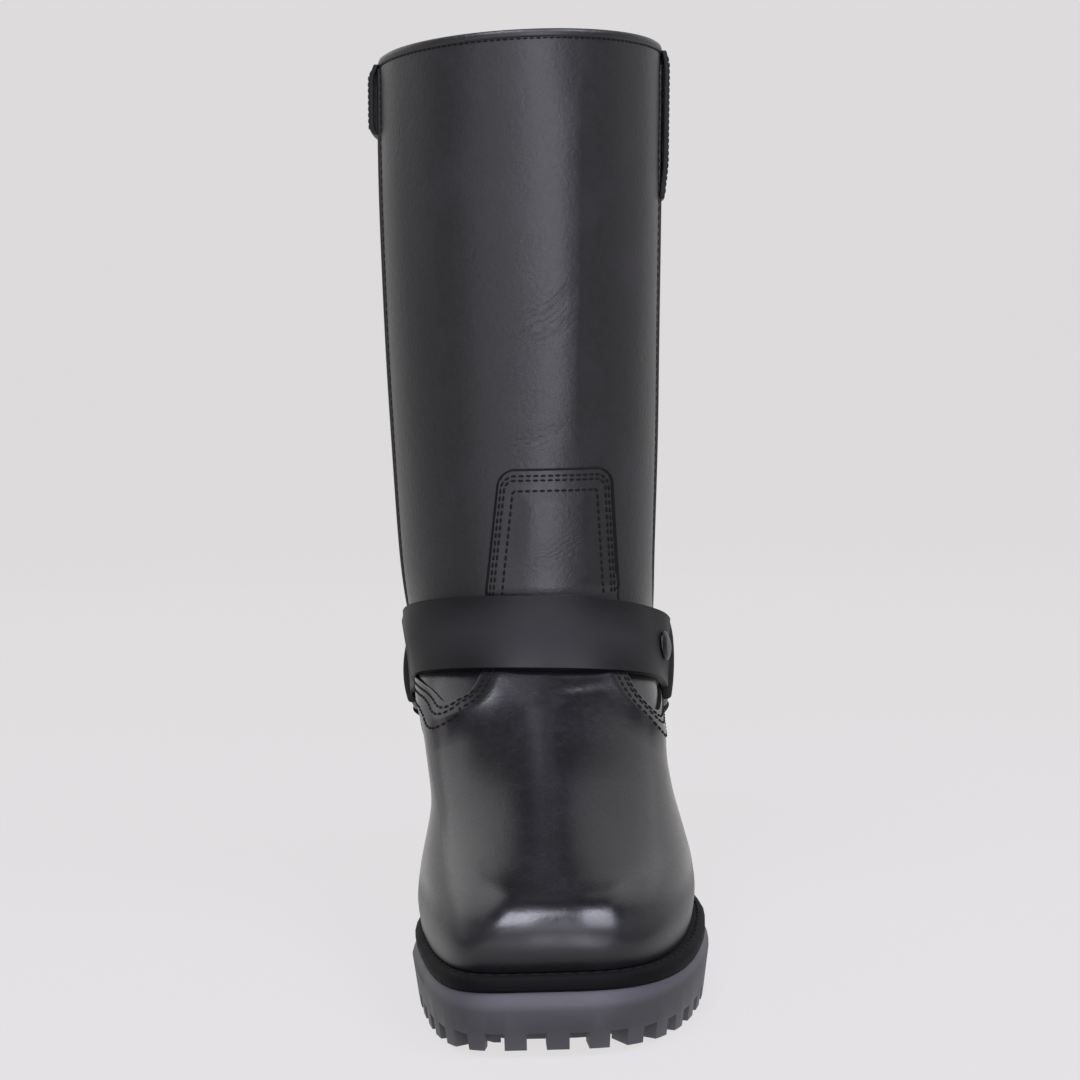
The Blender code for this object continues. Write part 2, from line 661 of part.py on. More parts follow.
make_outsole()
make_heel()
make_welt()
make_insole()
make_upper()
make_ring("ring_medial", RING_MEDIAL)
make_ring("ring_lateral", RING_LATERAL)
make_front_strap()
make_heel_strap()
make_under_strap("under_strap_medial", RING_MEDIAL)
make_under_strap("under_strap_lateral", RING_LATERAL)
make_pull("pull_loop_medial", PULL_MEDIAL)
make_pull("pull_loop_lateral", PULL_LATERAL)
stand_on_origin()
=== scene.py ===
from collections import namedtuple
from math import atan2, cos, exp, hypot, pi, radians, sin, sqrt

import bmesh
import bpy
from mathutils import Matrix, Vector
from mathutils.bvhtree import BVHTree


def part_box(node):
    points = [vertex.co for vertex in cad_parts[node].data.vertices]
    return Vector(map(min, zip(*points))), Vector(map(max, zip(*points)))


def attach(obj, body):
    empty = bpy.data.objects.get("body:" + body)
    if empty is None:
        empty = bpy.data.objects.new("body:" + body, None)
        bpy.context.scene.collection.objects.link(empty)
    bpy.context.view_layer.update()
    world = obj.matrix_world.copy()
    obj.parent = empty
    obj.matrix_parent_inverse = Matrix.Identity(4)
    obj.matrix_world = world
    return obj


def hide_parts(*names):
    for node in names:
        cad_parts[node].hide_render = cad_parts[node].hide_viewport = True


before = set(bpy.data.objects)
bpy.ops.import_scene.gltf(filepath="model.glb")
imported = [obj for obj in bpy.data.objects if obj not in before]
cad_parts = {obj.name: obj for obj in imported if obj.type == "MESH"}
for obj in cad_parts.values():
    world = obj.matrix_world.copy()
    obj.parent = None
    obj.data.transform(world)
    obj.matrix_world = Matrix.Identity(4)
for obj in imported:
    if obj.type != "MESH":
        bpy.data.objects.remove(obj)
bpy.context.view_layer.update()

# Outsole and heel
# A moulded rubber lug sole and the separate lugged heel block under it. They come out of a mould, so
# every edge is a little round, the skin is matt with a fine grit, and the lug tips pick up dust.

MM = .001
MERGE = 1e-6
RUBBER_EDGE = .7 * MM
# In degrees: faces that turn by less than the first are one face, and edges past the second are rounded.
RUBBER_FLAT, RUBBER_SHARP = 2, 40
# The grit is drawn coarser than it is, so that it shows.
RUBBER_GRIT = .9 * MM
RUBBER_STAIN = 24 * MM
DUST_HEIGHT = 9 * MM
# Heights where the painted highlight on the rim under the welt fades in.
RIM_HIGHLIGHT_LOW, RIM_HIGHLIGHT_HIGH = 15 * MM, 18 * MM


def linear(hex_colour):
    """The linear RGBA of an sRGB hex colour."""
    channels = [int(hex_colour[at:at + 2], 16) / 255 for at in (1, 3, 5)]
    return (*[c / 12.92 if c <= .04045 else ((c + .055) / 1.055) ** 2.4 for c in channels], 1)


def new_material(name):
    """A material with an empty node tree."""
    material = bpy.data.materials.new(name)
    material.use_nodes = True
    material.node_tree.nodes.clear()
    return material


def add_node(material, kind, settings={}, inputs={}):
    """Add a shader node. An input is a value to set, or the output socket that feeds it."""
    node = material.node_tree.nodes.new("ShaderNode" + kind)
    for name, value in settings.items():
        setattr(node, name, value)
    for name, value in inputs.items():
        if isinstance(value, bpy.types.NodeSocket):
            material.node_tree.links.new(value, node.inputs[name])
        else:
            node.inputs[name].default_value = value
    return node


def cad_copy(node):
    """A bmesh copy of a CAD node with its loose triangles merged."""
    bm = bmesh.new()
    bm.from_mesh(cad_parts[node].data)
    bmesh.ops.remove_doubles(bm, verts=bm.verts, dist=MERGE)
    return bm


def sharp_edges(bm, degrees):
    """The edges whose two faces turn by more than that angle."""
    return [edge for edge in bm.edges if edge.calc_face_angle(0) > radians(degrees)]


def round_edges(bm, degrees, offset):
    """Round the edges whose two faces turn by more than that angle, and give what the bevel made."""
    return bmesh.ops.bevel(bm, geom=sharp_edges(bm, degrees), offset=offset, offset_type="OFFSET",
                           affect="EDGES", segments=2, profile=.5, material=-1, clamp_overlap=True)


def finish_piece(name, bm, materials, slot, *replaced, crisp=35):
    """Make the object of a bmesh, smooth up to the crisp angle, and put it on the boot."""
    mesh = bpy.data.meshes.new(name)
    bm.to_mesh(mesh)
    bm.free()
    mesh.shade_smooth()
    mesh.set_sharp_from_angle(angle=radians(crisp))
    for material in materials:
        mesh.materials.append(material)
    piece = bpy.data.objects.new(name, mesh)
    bpy.context.collection.objects.link(piece)
    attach(piece, "root")
    if replaced:
        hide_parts(*replaced)
    return piece


# Moulded nitrile rubber: a dull, dark violet-grey skin, broken by grit and by faint grey bloom near the
# floor. The rim under the welt is painted paler than the lugs, as a painted highlight.
rubber = new_material("moulded_rubber")
place = add_node(rubber, "TexCoord").outputs["Object"]
grit = add_node(rubber, "TexNoise", {}, {"Vector": place, "Scale": 1 / RUBBER_GRIT, "Detail": 3})
stain = add_node(rubber, "TexNoise", {}, {"Vector": place, "Scale": 1 / RUBBER_STAIN, "Detail": 6,
                                          "Roughness": .65})
height = add_node(rubber, "SeparateXYZ", {}, {"Vector": place}).outputs["Z"]
low = add_node(rubber, "MapRange", {}, {"Value": height, "From Max": DUST_HEIGHT, "To Min": .7, "To Max": 0})
dust = add_node(rubber, "Math", {"operation": "MULTIPLY"}, {0: low.outputs[0], 1: stain.outputs["Fac"]})
skin = add_node(rubber, "Mix", {"data_type": "RGBA"}, {0: stain.outputs["Fac"], 6: linear("#28272b"),
                                                       7: linear("#36353a")})
dusty = add_node(rubber, "Mix", {"data_type": "RGBA"}, {0: dust.outputs[0], 6: skin.outputs[2],
                                                        7: linear("#605f66")})
# A paler colour painted on the rim under the welt: a painted highlight.
rim_highlight_mask = add_node(rubber, "MapRange", {"interpolation_type": "SMOOTHSTEP"}, {
    "Value": height, "From Min": RIM_HIGHLIGHT_LOW, "From Max": RIM_HIGHLIGHT_HIGH})
painted_rim_highlight = add_node(rubber, "Mix", {"data_type": "RGBA"}, {0: rim_highlight_mask.outputs[0], 6: dusty.outputs[2],
                                                         7: linear("#434249")})
dull = add_node(rubber, "MapRange", {}, {"Value": stain.outputs["Fac"], "To Min": .46, "To Max": .66})
bump = add_node(rubber, "Bump", {}, {"Height": grit.outputs["Fac"], "Strength": .25, "Distance": .1 * MM})
shader = add_node(rubber, "BsdfPrincipled", {}, {"Base Color": painted_rim_highlight.outputs[2], "IOR": 1.52,
                                                 "Roughness": dull.outputs[0], "Normal": bump.outputs[0]})
add_node(rubber, "OutputMaterial", {}, {"Surface": shader.outputs[0]})

for node in ("outsole", "heel"):
    bm = cad_copy(node)
    bmesh.ops.dissolve_limit(bm, angle_limit=radians(RUBBER_FLAT), verts=bm.verts, edges=bm.edges)
    round_edges(bm, RUBBER_SHARP, RUBBER_EDGE)
    finish_piece(node + "_rubber", bm, [rubber], "sole_rubber", node)

# Welt
# A strip of waxed black leather all round the foot, sewn down through the outsole with heavy thread.
# The stitches lie in a shallow line near its outer edge.

WELT_EDGE = .9 * MM
WELT_STITCH_PITCH = 5.2 * MM
WELT_STITCH_INSET = 2.6 * MM
WELT_THREAD = 1.1 * MM
WELT_PATCH = 9 * MM
# The grain and the thread's twist are drawn coarser than they are, so that they show.
HIDE_GRAIN = .9 * MM
THREAD_TWIST = .5 * MM
# A stitch as parts of its thread's width and of the pitch: how flat, how proud and how long it lies.
THREAD_FLATNESS, THREAD_PROUD, STITCH_COVER = .8, .05, .82
# In degrees: where cut leather and metal turn by more, the edge is sharp.
CUT_SHARP = 50
# Limits of the upward part of a face's normal.
FACING_DOWN, UPRIGHT = -.6, .5
LOOK_FROM = 100 * MM
FOOT_MIDDLE, FOOT_REACH = 6 * MM, 100 * MM


def along_path(points, pitch, closed=False):
    """Points that far apart along a line of points, each with the direction the line runs in there."""
    line = [Vector(point) for point in points] + ([Vector(points[0])] if closed else [])
    legs = [(b - a).length for a, b in zip(line, line[1:])]
    count = max(2, round(sum(legs) / pitch))
    found = []
    leg, passed = 0, 0
    for step in range(count):
        wanted = sum(legs) * (step + .5) / count
        while leg < len(legs) - 1 and passed + legs[leg] < wanted:
            passed += legs[leg]
            leg += 1
        run = (line[leg + 1] - line[leg]).normalized()
        found.append((line[leg] + run * (wanted - passed), run))
    return found


def sew(bm, ground, points, pitch, thread, closed=False):
    """Add a row of stitches along points: short fat threads half sunk in the surface under them."""
    for point, run in along_path(points, pitch, closed):
        spot, normal, _, _ = ground.find_nearest(point)
        side = normal.cross(run).normalized()
        turn = Matrix((side, normal, side.cross(normal))).transposed().to_4x4()
        size = Matrix.Diagonal((thread, thread * THREAD_FLATNESS, pitch * STITCH_COVER, 1))
        middle = Matrix.Translation(spot + normal * thread * THREAD_PROUD)
        bmesh.ops.create_uvsphere(bm, u_segments=6, v_segments=4, radius=.5, matrix=middle @ turn @ size)


# Waxed welt leather: nearly black, with the wax filling the grain, so it only shines softly.
welt_leather = new_material("waxed_welt_leather_painted_shade")
place = add_node(welt_leather, "TexCoord").outputs["Object"]
grain = add_node(welt_leather, "TexVoronoi", {}, {"Vector": place, "Scale": 1 / HIDE_GRAIN})
patch = add_node(welt_leather, "TexNoise", {}, {"Vector": place, "Scale": 1 / WELT_PATCH, "Detail": 4})
# Black leather, coloured darker than the upper's: partly painted shade where the toe overhangs the welt.
tone = add_node(welt_leather, "Mix", {"data_type": "RGBA"}, {0: patch.outputs["Fac"], 6: linear("#050506"),
                                                             7: linear("#0b0b0d")})
dull = add_node(welt_leather, "MapRange", {}, {"Value": patch.outputs["Fac"], "To Min": .6, "To Max": .8})
bump = add_node(welt_leather, "Bump", {}, {"Height": grain.outputs["Distance"], "Strength": .3,
                                           "Distance": .12 * MM})
shader = add_node(welt_leather, "BsdfPrincipled", {}, {"Base Color": tone.outputs[2],
                                                       "Roughness": dull.outputs[0],
                                                       "Specular IOR Level": .1, "Normal": bump.outputs[0]})
add_node(welt_leather, "OutputMaterial", {}, {"Surface": shader.outputs[0]})

# Bonded thread: black and dull, half sunk in the leather. Its colour is painted darker than the leather as
# the painted shade of its needle holes, so a seam reads as a dark broken line.
thread_black_and_hole_shade = new_material("bonded_thread_and_hole_shade")
place = add_node(thread_black_and_hole_shade, "TexCoord").outputs["Object"]
twist = add_node(thread_black_and_hole_shade, "TexNoise", {}, {"Vector": place, "Scale": 1 / THREAD_TWIST, "Detail": 2})
bump = add_node(thread_black_and_hole_shade, "Bump", {}, {"Height": twist.outputs["Fac"], "Strength": .4,
                                           "Distance": .1 * MM})
# Near black and darker than the leather: black thread plus painted shade of the needle holes.
tone = add_node(thread_black_and_hole_shade, "Mix", {"data_type": "RGBA"}, {0: twist.outputs["Fac"], 6: linear("#040404"),
                                                             7: linear("#0e0d0f")})
shader = add_node(thread_black_and_hole_shade, "BsdfPrincipled", {}, {"Base Color": tone.outputs[2], "Roughness": .8,
                                                       "Specular IOR Level": .2, "Normal": bump.outputs[0]})
add_node(thread_black_and_hole_shade, "OutputMaterial", {}, {"Surface": shader.outputs[0]})


def walk_loop(edges):
    """The corners of one closed loop of edges, in order."""
    edge = edges[0]
    left = set(edges[1:])
    corners = [edge.verts[0], edge.verts[1]]
    while edge:
        edge = next((other for other in corners[-1].link_edges if other in left), None)
        if edge:
            left.discard(edge)
            corners.append(edge.other_vert(corners[-1]))
    return corners[:-1]


def outward_at(points, at, centre):
    """The level direction square to a closed line of points there, away from a centre."""
    run = points[(at + 1) % len(points)] - points[at - 1]
    square = Vector((run.y, -run.x, 0)).normalized()
    return square if square.dot(points[at] - centre) > 0 else -square


def foot_centre(point):
    """The middle of the foot, level with a point."""
    return Vector((FOOT_MIDDLE, min(max(point.y, -FOOT_REACH), FOOT_REACH), point.z))


def looks_out(face):
    """Whether a face stands upright and looks away from the foot."""
    middle = face.calc_center_median()
    return abs(face.normal.z) < UPRIGHT and face.normal.dot(middle - foot_centre(middle)) > 0


bm = cad_copy("welt")
under = [edge for edge in sharp_edges(bm, CUT_SHARP)
         if any(face.normal.z < FACING_DOWN for face in edge.link_faces)
         and any(looks_out(face) for face in edge.link_faces)]
welt_rim = [corner.co.copy() for corner in walk_loop(under)]
welt_top = BVHTree.FromBMesh(bm)
seam = []
for at, point in enumerate(welt_rim):
    above = point - outward_at(welt_rim, at, foot_centre(point)) * WELT_STITCH_INSET
    above += Vector((0, 0, LOOK_FROM))
    seam.append(welt_top.ray_cast(above, Vector((0, 0, -1)))[0])
round_edges(bm, CUT_SHARP, WELT_EDGE)
finish_piece("welt_strip", bm, [welt_leather], "welt_leather", "welt")
bm = bmesh.new()
sew(bm, welt_top, seam, WELT_STITCH_PITCH, WELT_THREAD, closed=True)
finish_piece("welt_stitches", bm, [thread_black_and_hole_shade], "welt_leather")

# Insole
# A board of pressed leather fibre that closes the foot from below, seen only from the collar.
# It is brushed smooth and has the brown of undyed fibre, with darker patches from handling.

FIBRE = 1.4 * MM
FIBRE_PATCH = 30 * MM

# Leather fibreboard: dull mottled brown with short soft fibres in its surface.
fibreboard = new_material("leather_fibreboard")
place = add_node(fibreboard, "TexCoord").outputs["Object"]
fibre = add_node(fibreboard, "TexNoise", {}, {"Vector": place, "Scale": 1 / FIBRE, "Detail": 6})
patch = add_node(fibreboard, "TexNoise", {}, {"Vector": place, "Scale": 1 / FIBRE_PATCH, "Detail": 3})
mottle = add_node(fibreboard, "Math", {"operation": "MULTIPLY"}, {0: fibre.outputs["Fac"],
                                                                  1: patch.outputs["Fac"]})
tone = add_node(fibreboard, "Mix", {"data_type": "RGBA"}, {0: mottle.outputs[0], 6: linear("#4a3a2c"),
                                                           7: linear("#8a7058")})
bump = add_node(fibreboard, "Bump", {}, {"Height": fibre.outputs["Fac"], "Strength": .4,
                                         "Distance": .15 * MM})
shader = add_node(fibreboard, "BsdfPrincipled", {}, {"Base Color": tone.outputs[2], "Roughness": .85,
                                                     "Normal": bump.outputs[0]})
add_node(fibreboard, "OutputMaterial", {}, {"Surface": shader.outputs[0]})
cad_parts["insole"].data.materials.clear()
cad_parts["insole"].data.materials.append(fibreboard)

# Upper
# One shell of black full-grain leather with a thin lining, about 2.4 mm in all, sewn from vamp and
# shaft, pulled over the last and caught by the welt seam. Flexing has creased it at ankle and shin.

OUTSIDE_DETAIL = 3
LINING_DETAIL = 1
FITTING_ROUNDS = 5
COLLAR_ABOVE = 200 * MM
# The grain is drawn coarser than it is, so that it shows.
LEATHER_GRAIN = 1.3 * MM
LEATHER_PORES = .7 * MM
LEATHER_MOTTLE = 3.5 * MM
LEATHER_PATCH = 26 * MM
LINING_NAP, LINING_PATCH = .8 * MM, 40 * MM
WRINKLE_WANDER, WRINKLE_BEND = 8 * MM, 2.4
CRINKLE = 3.4 * MM
POLISHED_TO, DULL_FROM = 105 * MM, 150 * MM
SCUFFED_TO, CLEAN_FROM = 38 * MM, 45 * MM
FRONT_FACING = -.25

# Creases on the front of the boot, in mm: two ends across and up, depth of the trough, half width.
# A depth below nothing is a ridge: the stiff toe box stands out in three of them, and the last is the
# crown of the vamp.
Crease = namedtuple("Crease", "x0 z0 x1 z1 depth width")
CREASES = (
    Crease(-9, 231, 5, 238, .35, 1.6),
    Crease(-6, 229, 10, 236, .40, 1.6),
    Crease(-5, 235, 13, 243, .40, 1.7),
    Crease(1, 233, 15, 241, .30, 1.5),
    Crease(2, 242, 13, 251, .30, 1.7),
    Crease(8, 245, 19, 255, .35, 1.8),
    Crease(-4, 195, 12, 198, .25, 1.8),
    Crease(-1, 199, 11, 201, .25, 1.6),
    Crease(-3, 99.5, 23, 100.3, .3, 1.5),
    Crease(-13, 48.7, 21, 47.5, -.5, 2.5),
    Crease(-14, 48, -20.4, 37, -.26, 3.4),
    Crease(21.6, 47, 22.6, 36, -.26, 3.4),
    Crease(2, 60, 3, 92, -1.2, 12),
)
# A crease fades out past its ends, by that part of its length, and within that many half widths.
CREASE_OVERRUN, CREASE_REACH = .3, 4
# Patches of fine wrinkles, in mm: centre across and up, slope of their lines in degrees, half the patch
# along and across the lines, and the distance between two lines.
Wrinkles = namedtuple("Wrinkles", "x z slope long wide pitch")
WRINKLES = (
    Wrinkles(4, 242, 36, 17, 9, 2.6), Wrinkles(0, 196, 22, 12, 4, 2.3), Wrinkles(13, 156, 27, 8, 4, 2.1),
)
Fold = namedtuple("Fold", "x z")
SHIN_FOLD = (Fold(21.8, 345), Fold(20.7, 290), Fold(19.7, 252), Fold(17.9, 212), Fold(16.5, 188))
SHIN_FOLD_HEIGHT = 1.2
SHIN_FOLD_LEFT, SHIN_FOLD_RIGHT = 13, 3.6
SHIN_FOLD_FADE = 25


def quads_of(bm):
    """Pair the triangles of a bmesh up again as the four-sided faces they came from."""
    bmesh.ops.join_triangles(bm, faces=bm.faces[:], angle_face_threshold=pi, angle_shape_threshold=pi,
                             topology_influence=2.0)


def regions(bm, degrees):
    """The faces in groups that sharp edges bound, the group with the largest area first."""
    borders = set(sharp_edges(bm, degrees))
    found, seen = [], set()
    for face in bm.faces:
        if face in seen:
            continue
        seen.add(face)
        group, waiting = [], [face]
        while waiting:
            group.append(waiting.pop())
            for edge in group[-1].edges:
                if edge not in borders:
                    near = [other for other in edge.link_faces if other not in seen]
                    seen.update(near)
                    waiting.extend(near)
        found.append(group)
    return sorted(found, key=lambda group: -sum(face.calc_area() for face in group))


def only(bm, faces):
    """A bmesh of some of the faces of another."""
    kept = {face.index for face in faces}
    sheet = bm.copy()
    bmesh.ops.delete(sheet, geom=[face for face in sheet.faces if face.index not in kept], context="FACES")
    return sheet


def smooth_through(cage, levels):
    """A subdivided bmesh whose smooth surface still passes through the corners of its cage."""
    mesh = bpy.data.meshes.new("cage")
    cage.to_mesh(mesh)
    holder = bpy.data.objects.new("cage", mesh)
    bpy.context.collection.objects.link(holder)
    smoothing = holder.modifiers.new("smooth", "SUBSURF")
    smoothing.levels = smoothing.render_levels = levels
    wanted = [vert.co.copy() for vert in mesh.vertices]
    for _ in range(FITTING_ROUNDS):
        reached = holder.evaluated_get(bpy.context.evaluated_depsgraph_get()).data.vertices
        for vert, goal, near in zip(mesh.vertices, wanted, [near.co.copy() for near in reached]):
            vert.co += goal - near
        mesh.update()
    smooth = bmesh.new()
    smooth.from_mesh(holder.evaluated_get(bpy.context.evaluated_depsgraph_get()).data)
    bpy.data.objects.remove(holder)
    return smooth


def crease_height(x, z):
    """How far a crease lifts the leather there, in mm: a trough with a low ridge along each side."""
    height = 0
    for crease in CREASES:
        run_x, run_z = crease.x1 - crease.x0, crease.z1 - crease.z0
        length = hypot(run_x, run_z)
        along = ((x - crease.x0) * run_x + (z - crease.z0) * run_z) / length ** 2
        if -CREASE_OVERRUN < along < 1 + CREASE_OVERRUN:
            off = abs((x - crease.x0) * run_z - (z - crease.z0) * run_x) / length / crease.width
            if off < CREASE_REACH:
                fade = max(0, 1 - (abs(along - .5) / (.5 + CREASE_OVERRUN)) ** 3)
                height += crease.depth * fade * (.5 * exp(-(off - 2) ** 2) - exp(-off ** 2))
    return height


def wrinkled(x, z):
    """How wrinkled the leather is there, from 0 to 1, and how many lines off its patch's middle that is."""
    strongest = 0, 0
    for patch in WRINKLES:
        slope = radians(patch.slope)
        along = (x - patch.x) * cos(slope) + (z - patch.z) * sin(slope)
        across = (z - patch.z) * cos(slope) - (x - patch.x) * sin(slope)
        strength = exp(-(along / patch.long) ** 2 - (across / patch.wide) ** 2)
        strongest = max(strongest, (strength, across / patch.pitch))
    return strongest


def mark_wrinkles(bm):
    """Set the attributes that the leather's wrinkles follow on the front of a bmesh."""
    wrinkle_layer = bm.verts.layers.float.new("wrinkle")
    across_layer = bm.verts.layers.float.new("across")
    for vert in bm.verts:
        if vert.normal.y < FRONT_FACING:
            vert[wrinkle_layer], vert[across_layer] = wrinkled(vert.co.x / MM, vert.co.z / MM)


def shin_fold_height(x, z):
    """The soft upright fold down the front of the shaft, steeper on its lateral side, in mm."""
    top, bottom = SHIN_FOLD[0], SHIN_FOLD[-1]
    if not bottom.z < z < top.z:
        return 0
    upper_end, lower_end = next(pair for pair in zip(SHIN_FOLD, SHIN_FOLD[1:]) if z >= pair[1].z)
    part = (z - lower_end.z) / (upper_end.z - lower_end.z)
    off = x - lower_end.x - (upper_end.x - lower_end.x) * part
    width = SHIN_FOLD_LEFT if off < 0 else SHIN_FOLD_RIGHT
    fade = min(1, (z - bottom.z) / SHIN_FOLD_FADE, (top.z - z) / SHIN_FOLD_FADE)
    return SHIN_FOLD_HEIGHT * fade * exp(-(off / width) ** 2)


# Black full-grain leather, drum dyed and waxed: a fine grain over a faint bluish mottle, and broken lines
# where it has wrinkled. The vamp is polished, the shaft above it stays duller, and near the welt it is
# scuffed.
leather = new_material("black_full_grain_leather")
place = add_node(leather, "TexCoord").outputs["Object"]
grain = add_node(leather, "TexVoronoi", {"feature": "SMOOTH_F1"}, {
    "Vector": place, "Scale": 1 / LEATHER_GRAIN, "Smoothness": .4})
pores = add_node(leather, "TexNoise", {}, {"Vector": place, "Scale": 1 / LEATHER_PORES, "Detail": 2})
patch = add_node(leather, "TexNoise", {}, {"Vector": place, "Scale": 1 / LEATHER_PATCH, "Detail": 5,
                                           "Roughness": .6})
mottle = add_node(leather, "TexNoise", {}, {"Vector": place, "Scale": 1 / LEATHER_MOTTLE, "Detail": 5,
                                            "Roughness": .7})
tone = add_node(leather, "Mix", {"data_type": "RGBA"}, {0: mottle.outputs["Fac"], 6: linear("#0a090a"),
                                                        7: linear("#171519")})
blotch = add_node(leather, "MapRange", {}, {"Value": patch.outputs["Fac"], "From Min": .5, "From Max": .75,
                                            "To Max": .7})
dyed = add_node(leather, "Mix", {"data_type": "RGBA"}, {0: blotch.outputs[0], 6: tone.outputs[2],
                                                        7: linear("#1d1b21")})
polish = add_node(leather, "MapRange", {}, {"Value": patch.outputs["Fac"], "To Min": .18, "To Max": .28})
height = add_node(leather, "SeparateXYZ", {}, {"Vector": place}).outputs["Z"]
flexed = add_node(leather, "MapRange", {"interpolation_type": "SMOOTHSTEP"}, {
    "Value": height, "From Min": POLISHED_TO, "From Max": DULL_FROM, "To Min": .15, "To Max": 1})
worn_off = add_node(leather, "Math", {"operation": "MULTIPLY_ADD"}, {0: flexed.outputs[0], 1: .215,
                                                                     2: polish.outputs[0]})
speckle = add_node(leather, "MapRange", {}, {"Value": mottle.outputs["Fac"], "To Min": -.07, "To Max": .07})
scuffed = add_node(leather, "MapRange", {"interpolation_type": "SMOOTHSTEP"}, {
    "Value": height, "From Min": SCUFFED_TO, "From Max": CLEAN_FROM, "To Min": .15, "To Max": 0})
marked = add_node(leather, "Math", {}, {0: speckle.outputs[0], 1: scuffed.outputs[0]})
dull = add_node(leather, "Math", {}, {0: worn_off.outputs[0], 1: marked.outputs[0]})
wrinkle = add_node(leather, "Attribute", {"attribute_name": "wrinkle"}).outputs["Fac"]
across = add_node(leather, "Attribute", {"attribute_name": "across"}).outputs["Fac"]
wander = add_node(leather, "TexNoise", {}, {"Vector": place, "Scale": 1 / WRINKLE_WANDER, "Detail": 3})
bent = add_node(leather, "Math", {"operation": "MULTIPLY_ADD"}, {0: wander.outputs["Fac"], 1: WRINKLE_BEND,
                                                                 2: across})
turn = add_node(leather, "Math", {"operation": "MULTIPLY"}, {0: bent.outputs[0], 1: 2 * pi})
wave = add_node(leather, "Math", {"operation": "SINE"}, {0: turn.outputs[0]})
trough = add_node(leather, "MapRange", {"interpolation_type": "SMOOTHSTEP"}, {
    "Value": wave.outputs[0], "From Min": 0, "From Max": 1})
broken = add_node(leather, "MapRange", {"interpolation_type": "SMOOTHSTEP"}, {
    "Value": mottle.outputs["Fac"], "From Min": .4, "From Max": .6})
lines = add_node(leather, "Math", {"operation": "MULTIPLY"}, {0: trough.outputs[0], 1: broken.outputs[0]})
folds = add_node(leather, "Math", {"operation": "MULTIPLY"}, {0: lines.outputs[0], 1: wrinkle})
worn = add_node(leather, "Bump", {"invert": True}, {"Height": folds.outputs[0], "Strength": .4,
                                                    "Distance": .3 * MM})
rumple = add_node(leather, "TexNoise", {}, {"Vector": place, "Scale": 1 / CRINKLE, "Detail": 4,
                                            "Distortion": 1.2})
softly = add_node(leather, "Math", {"operation": "MULTIPLY"}, {0: flexed.outputs[0], 1: .5})
rumpled = add_node(leather, "Bump", {}, {"Height": rumple.outputs["Fac"], "Strength": softly.outputs[0],
                                         "Distance": .35 * MM, "Normal": worn.outputs[0]})
fine = add_node(leather, "Bump", {}, {"Height": pores.outputs["Fac"], "Strength": .15, "Distance": .06 * MM,
                                      "Normal": rumpled.outputs[0]})
pebbled = add_node(leather, "Math", {"operation": "MULTIPLY_ADD"}, {0: flexed.outputs[0], 1: .2, 2: .1})
bump = add_node(leather, "Bump", {}, {"Height": grain.outputs["Distance"], "Strength": pebbled.outputs[0],
                                      "Distance": .12 * MM, "Normal": fine.outputs[0]})
shader = add_node(leather, "BsdfPrincipled", {}, {
    "Base Color": dyed.outputs[2], "Roughness": dull.outputs[0], "Normal": bump.outputs[0],
    "Specular IOR Level": .45, "Coat Weight": .08, "Coat Roughness": .3})
add_node(leather, "OutputMaterial", {}, {"Surface": shader.outputs[0]})

# Lining leather: thin undyed-looking grey skin with a short nap, quite matt.
lining_leather = new_material("napped_lining_leather")
place = add_node(lining_leather, "TexCoord").outputs["Object"]
nap = add_node(lining_leather, "TexNoise", {}, {"Vector": place, "Scale": 1 / LINING_NAP, "Detail": 4})
patch = add_node(lining_leather, "TexNoise", {}, {"Vector": place, "Scale": 1 / LINING_PATCH, "Detail": 4})
tone = add_node(lining_leather, "Mix", {"data_type": "RGBA"}, {0: patch.outputs["Fac"], 6: linear("#26231f"),
                                                               7: linear("#3d3833")})
bump = add_node(lining_leather, "Bump", {}, {"Height": nap.outputs["Fac"], "Strength": .35,
                                             "Distance": .15 * MM})
shader = add_node(lining_leather, "BsdfPrincipled", {}, {"Base Color": tone.outputs[2], "Roughness": .9,
                                                         "Normal": bump.outputs[0], "Sheen Weight": .2,
                                                         "Sheen Roughness": .6})
add_node(lining_leather, "OutputMaterial", {}, {"Surface": shader.outputs[0]})

shell = cad_copy("upper")
quads_of(shell)
skin_faces, lining_faces = regions(shell, CUT_SHARP)[:2]
skin_cage = only(shell, skin_faces)
lining_cage = only(shell, lining_faces)
shell.free()
upper_bm = smooth_through(skin_cage, OUTSIDE_DETAIL)
mark_wrinkles(upper_bm)
for vert in upper_bm.verts:
    if vert.normal.y < FRONT_FACING:
        x, z = vert.co.x / MM, vert.co.z / MM
        vert.co += vert.normal * MM * (crease_height(x, z) + shin_fold_height(x, z))
upper_bm.normal_update()
upper_skin = BVHTree.FromBMesh(upper_bm)
borders = [edge for edge in upper_bm.edges if edge.is_boundary]
collar_edges = [edge for edge in borders if edge.verts[0].co.z > COLLAR_ABOVE]
collar_line = [corner.co.copy() for corner in walk_loop(collar_edges)]
lining_bm = smooth_through(lining_cage, LINING_DETAIL)
for face in lining_bm.faces:
    face.material_index = 1
bmesh.ops.subdivide_edges(lining_bm, edges=[edge for edge in lining_bm.edges if edge.is_boundary],
                          cuts=2 ** (OUTSIDE_DETAIL - LINING_DETAIL) - 1)
lining_mesh = bpy.data.meshes.new("lining")
lining_bm.to_mesh(lining_mesh)
lining_bm.free()
upper_bm.from_mesh(lining_mesh)
bpy.data.meshes.remove(lining_mesh)
borders = [edge for edge in upper_bm.edges if edge.is_boundary]
for above in (True, False):
    rims = [edge for edge in borders if (edge.verts[0].co.z > COLLAR_ABOVE) is above]
    bmesh.ops.bridge_loops(upper_bm, edges=rims)
finish_piece("upper_leather", upper_bm, [leather, lining_leather], "upper_leather", "upper", crisp=60)

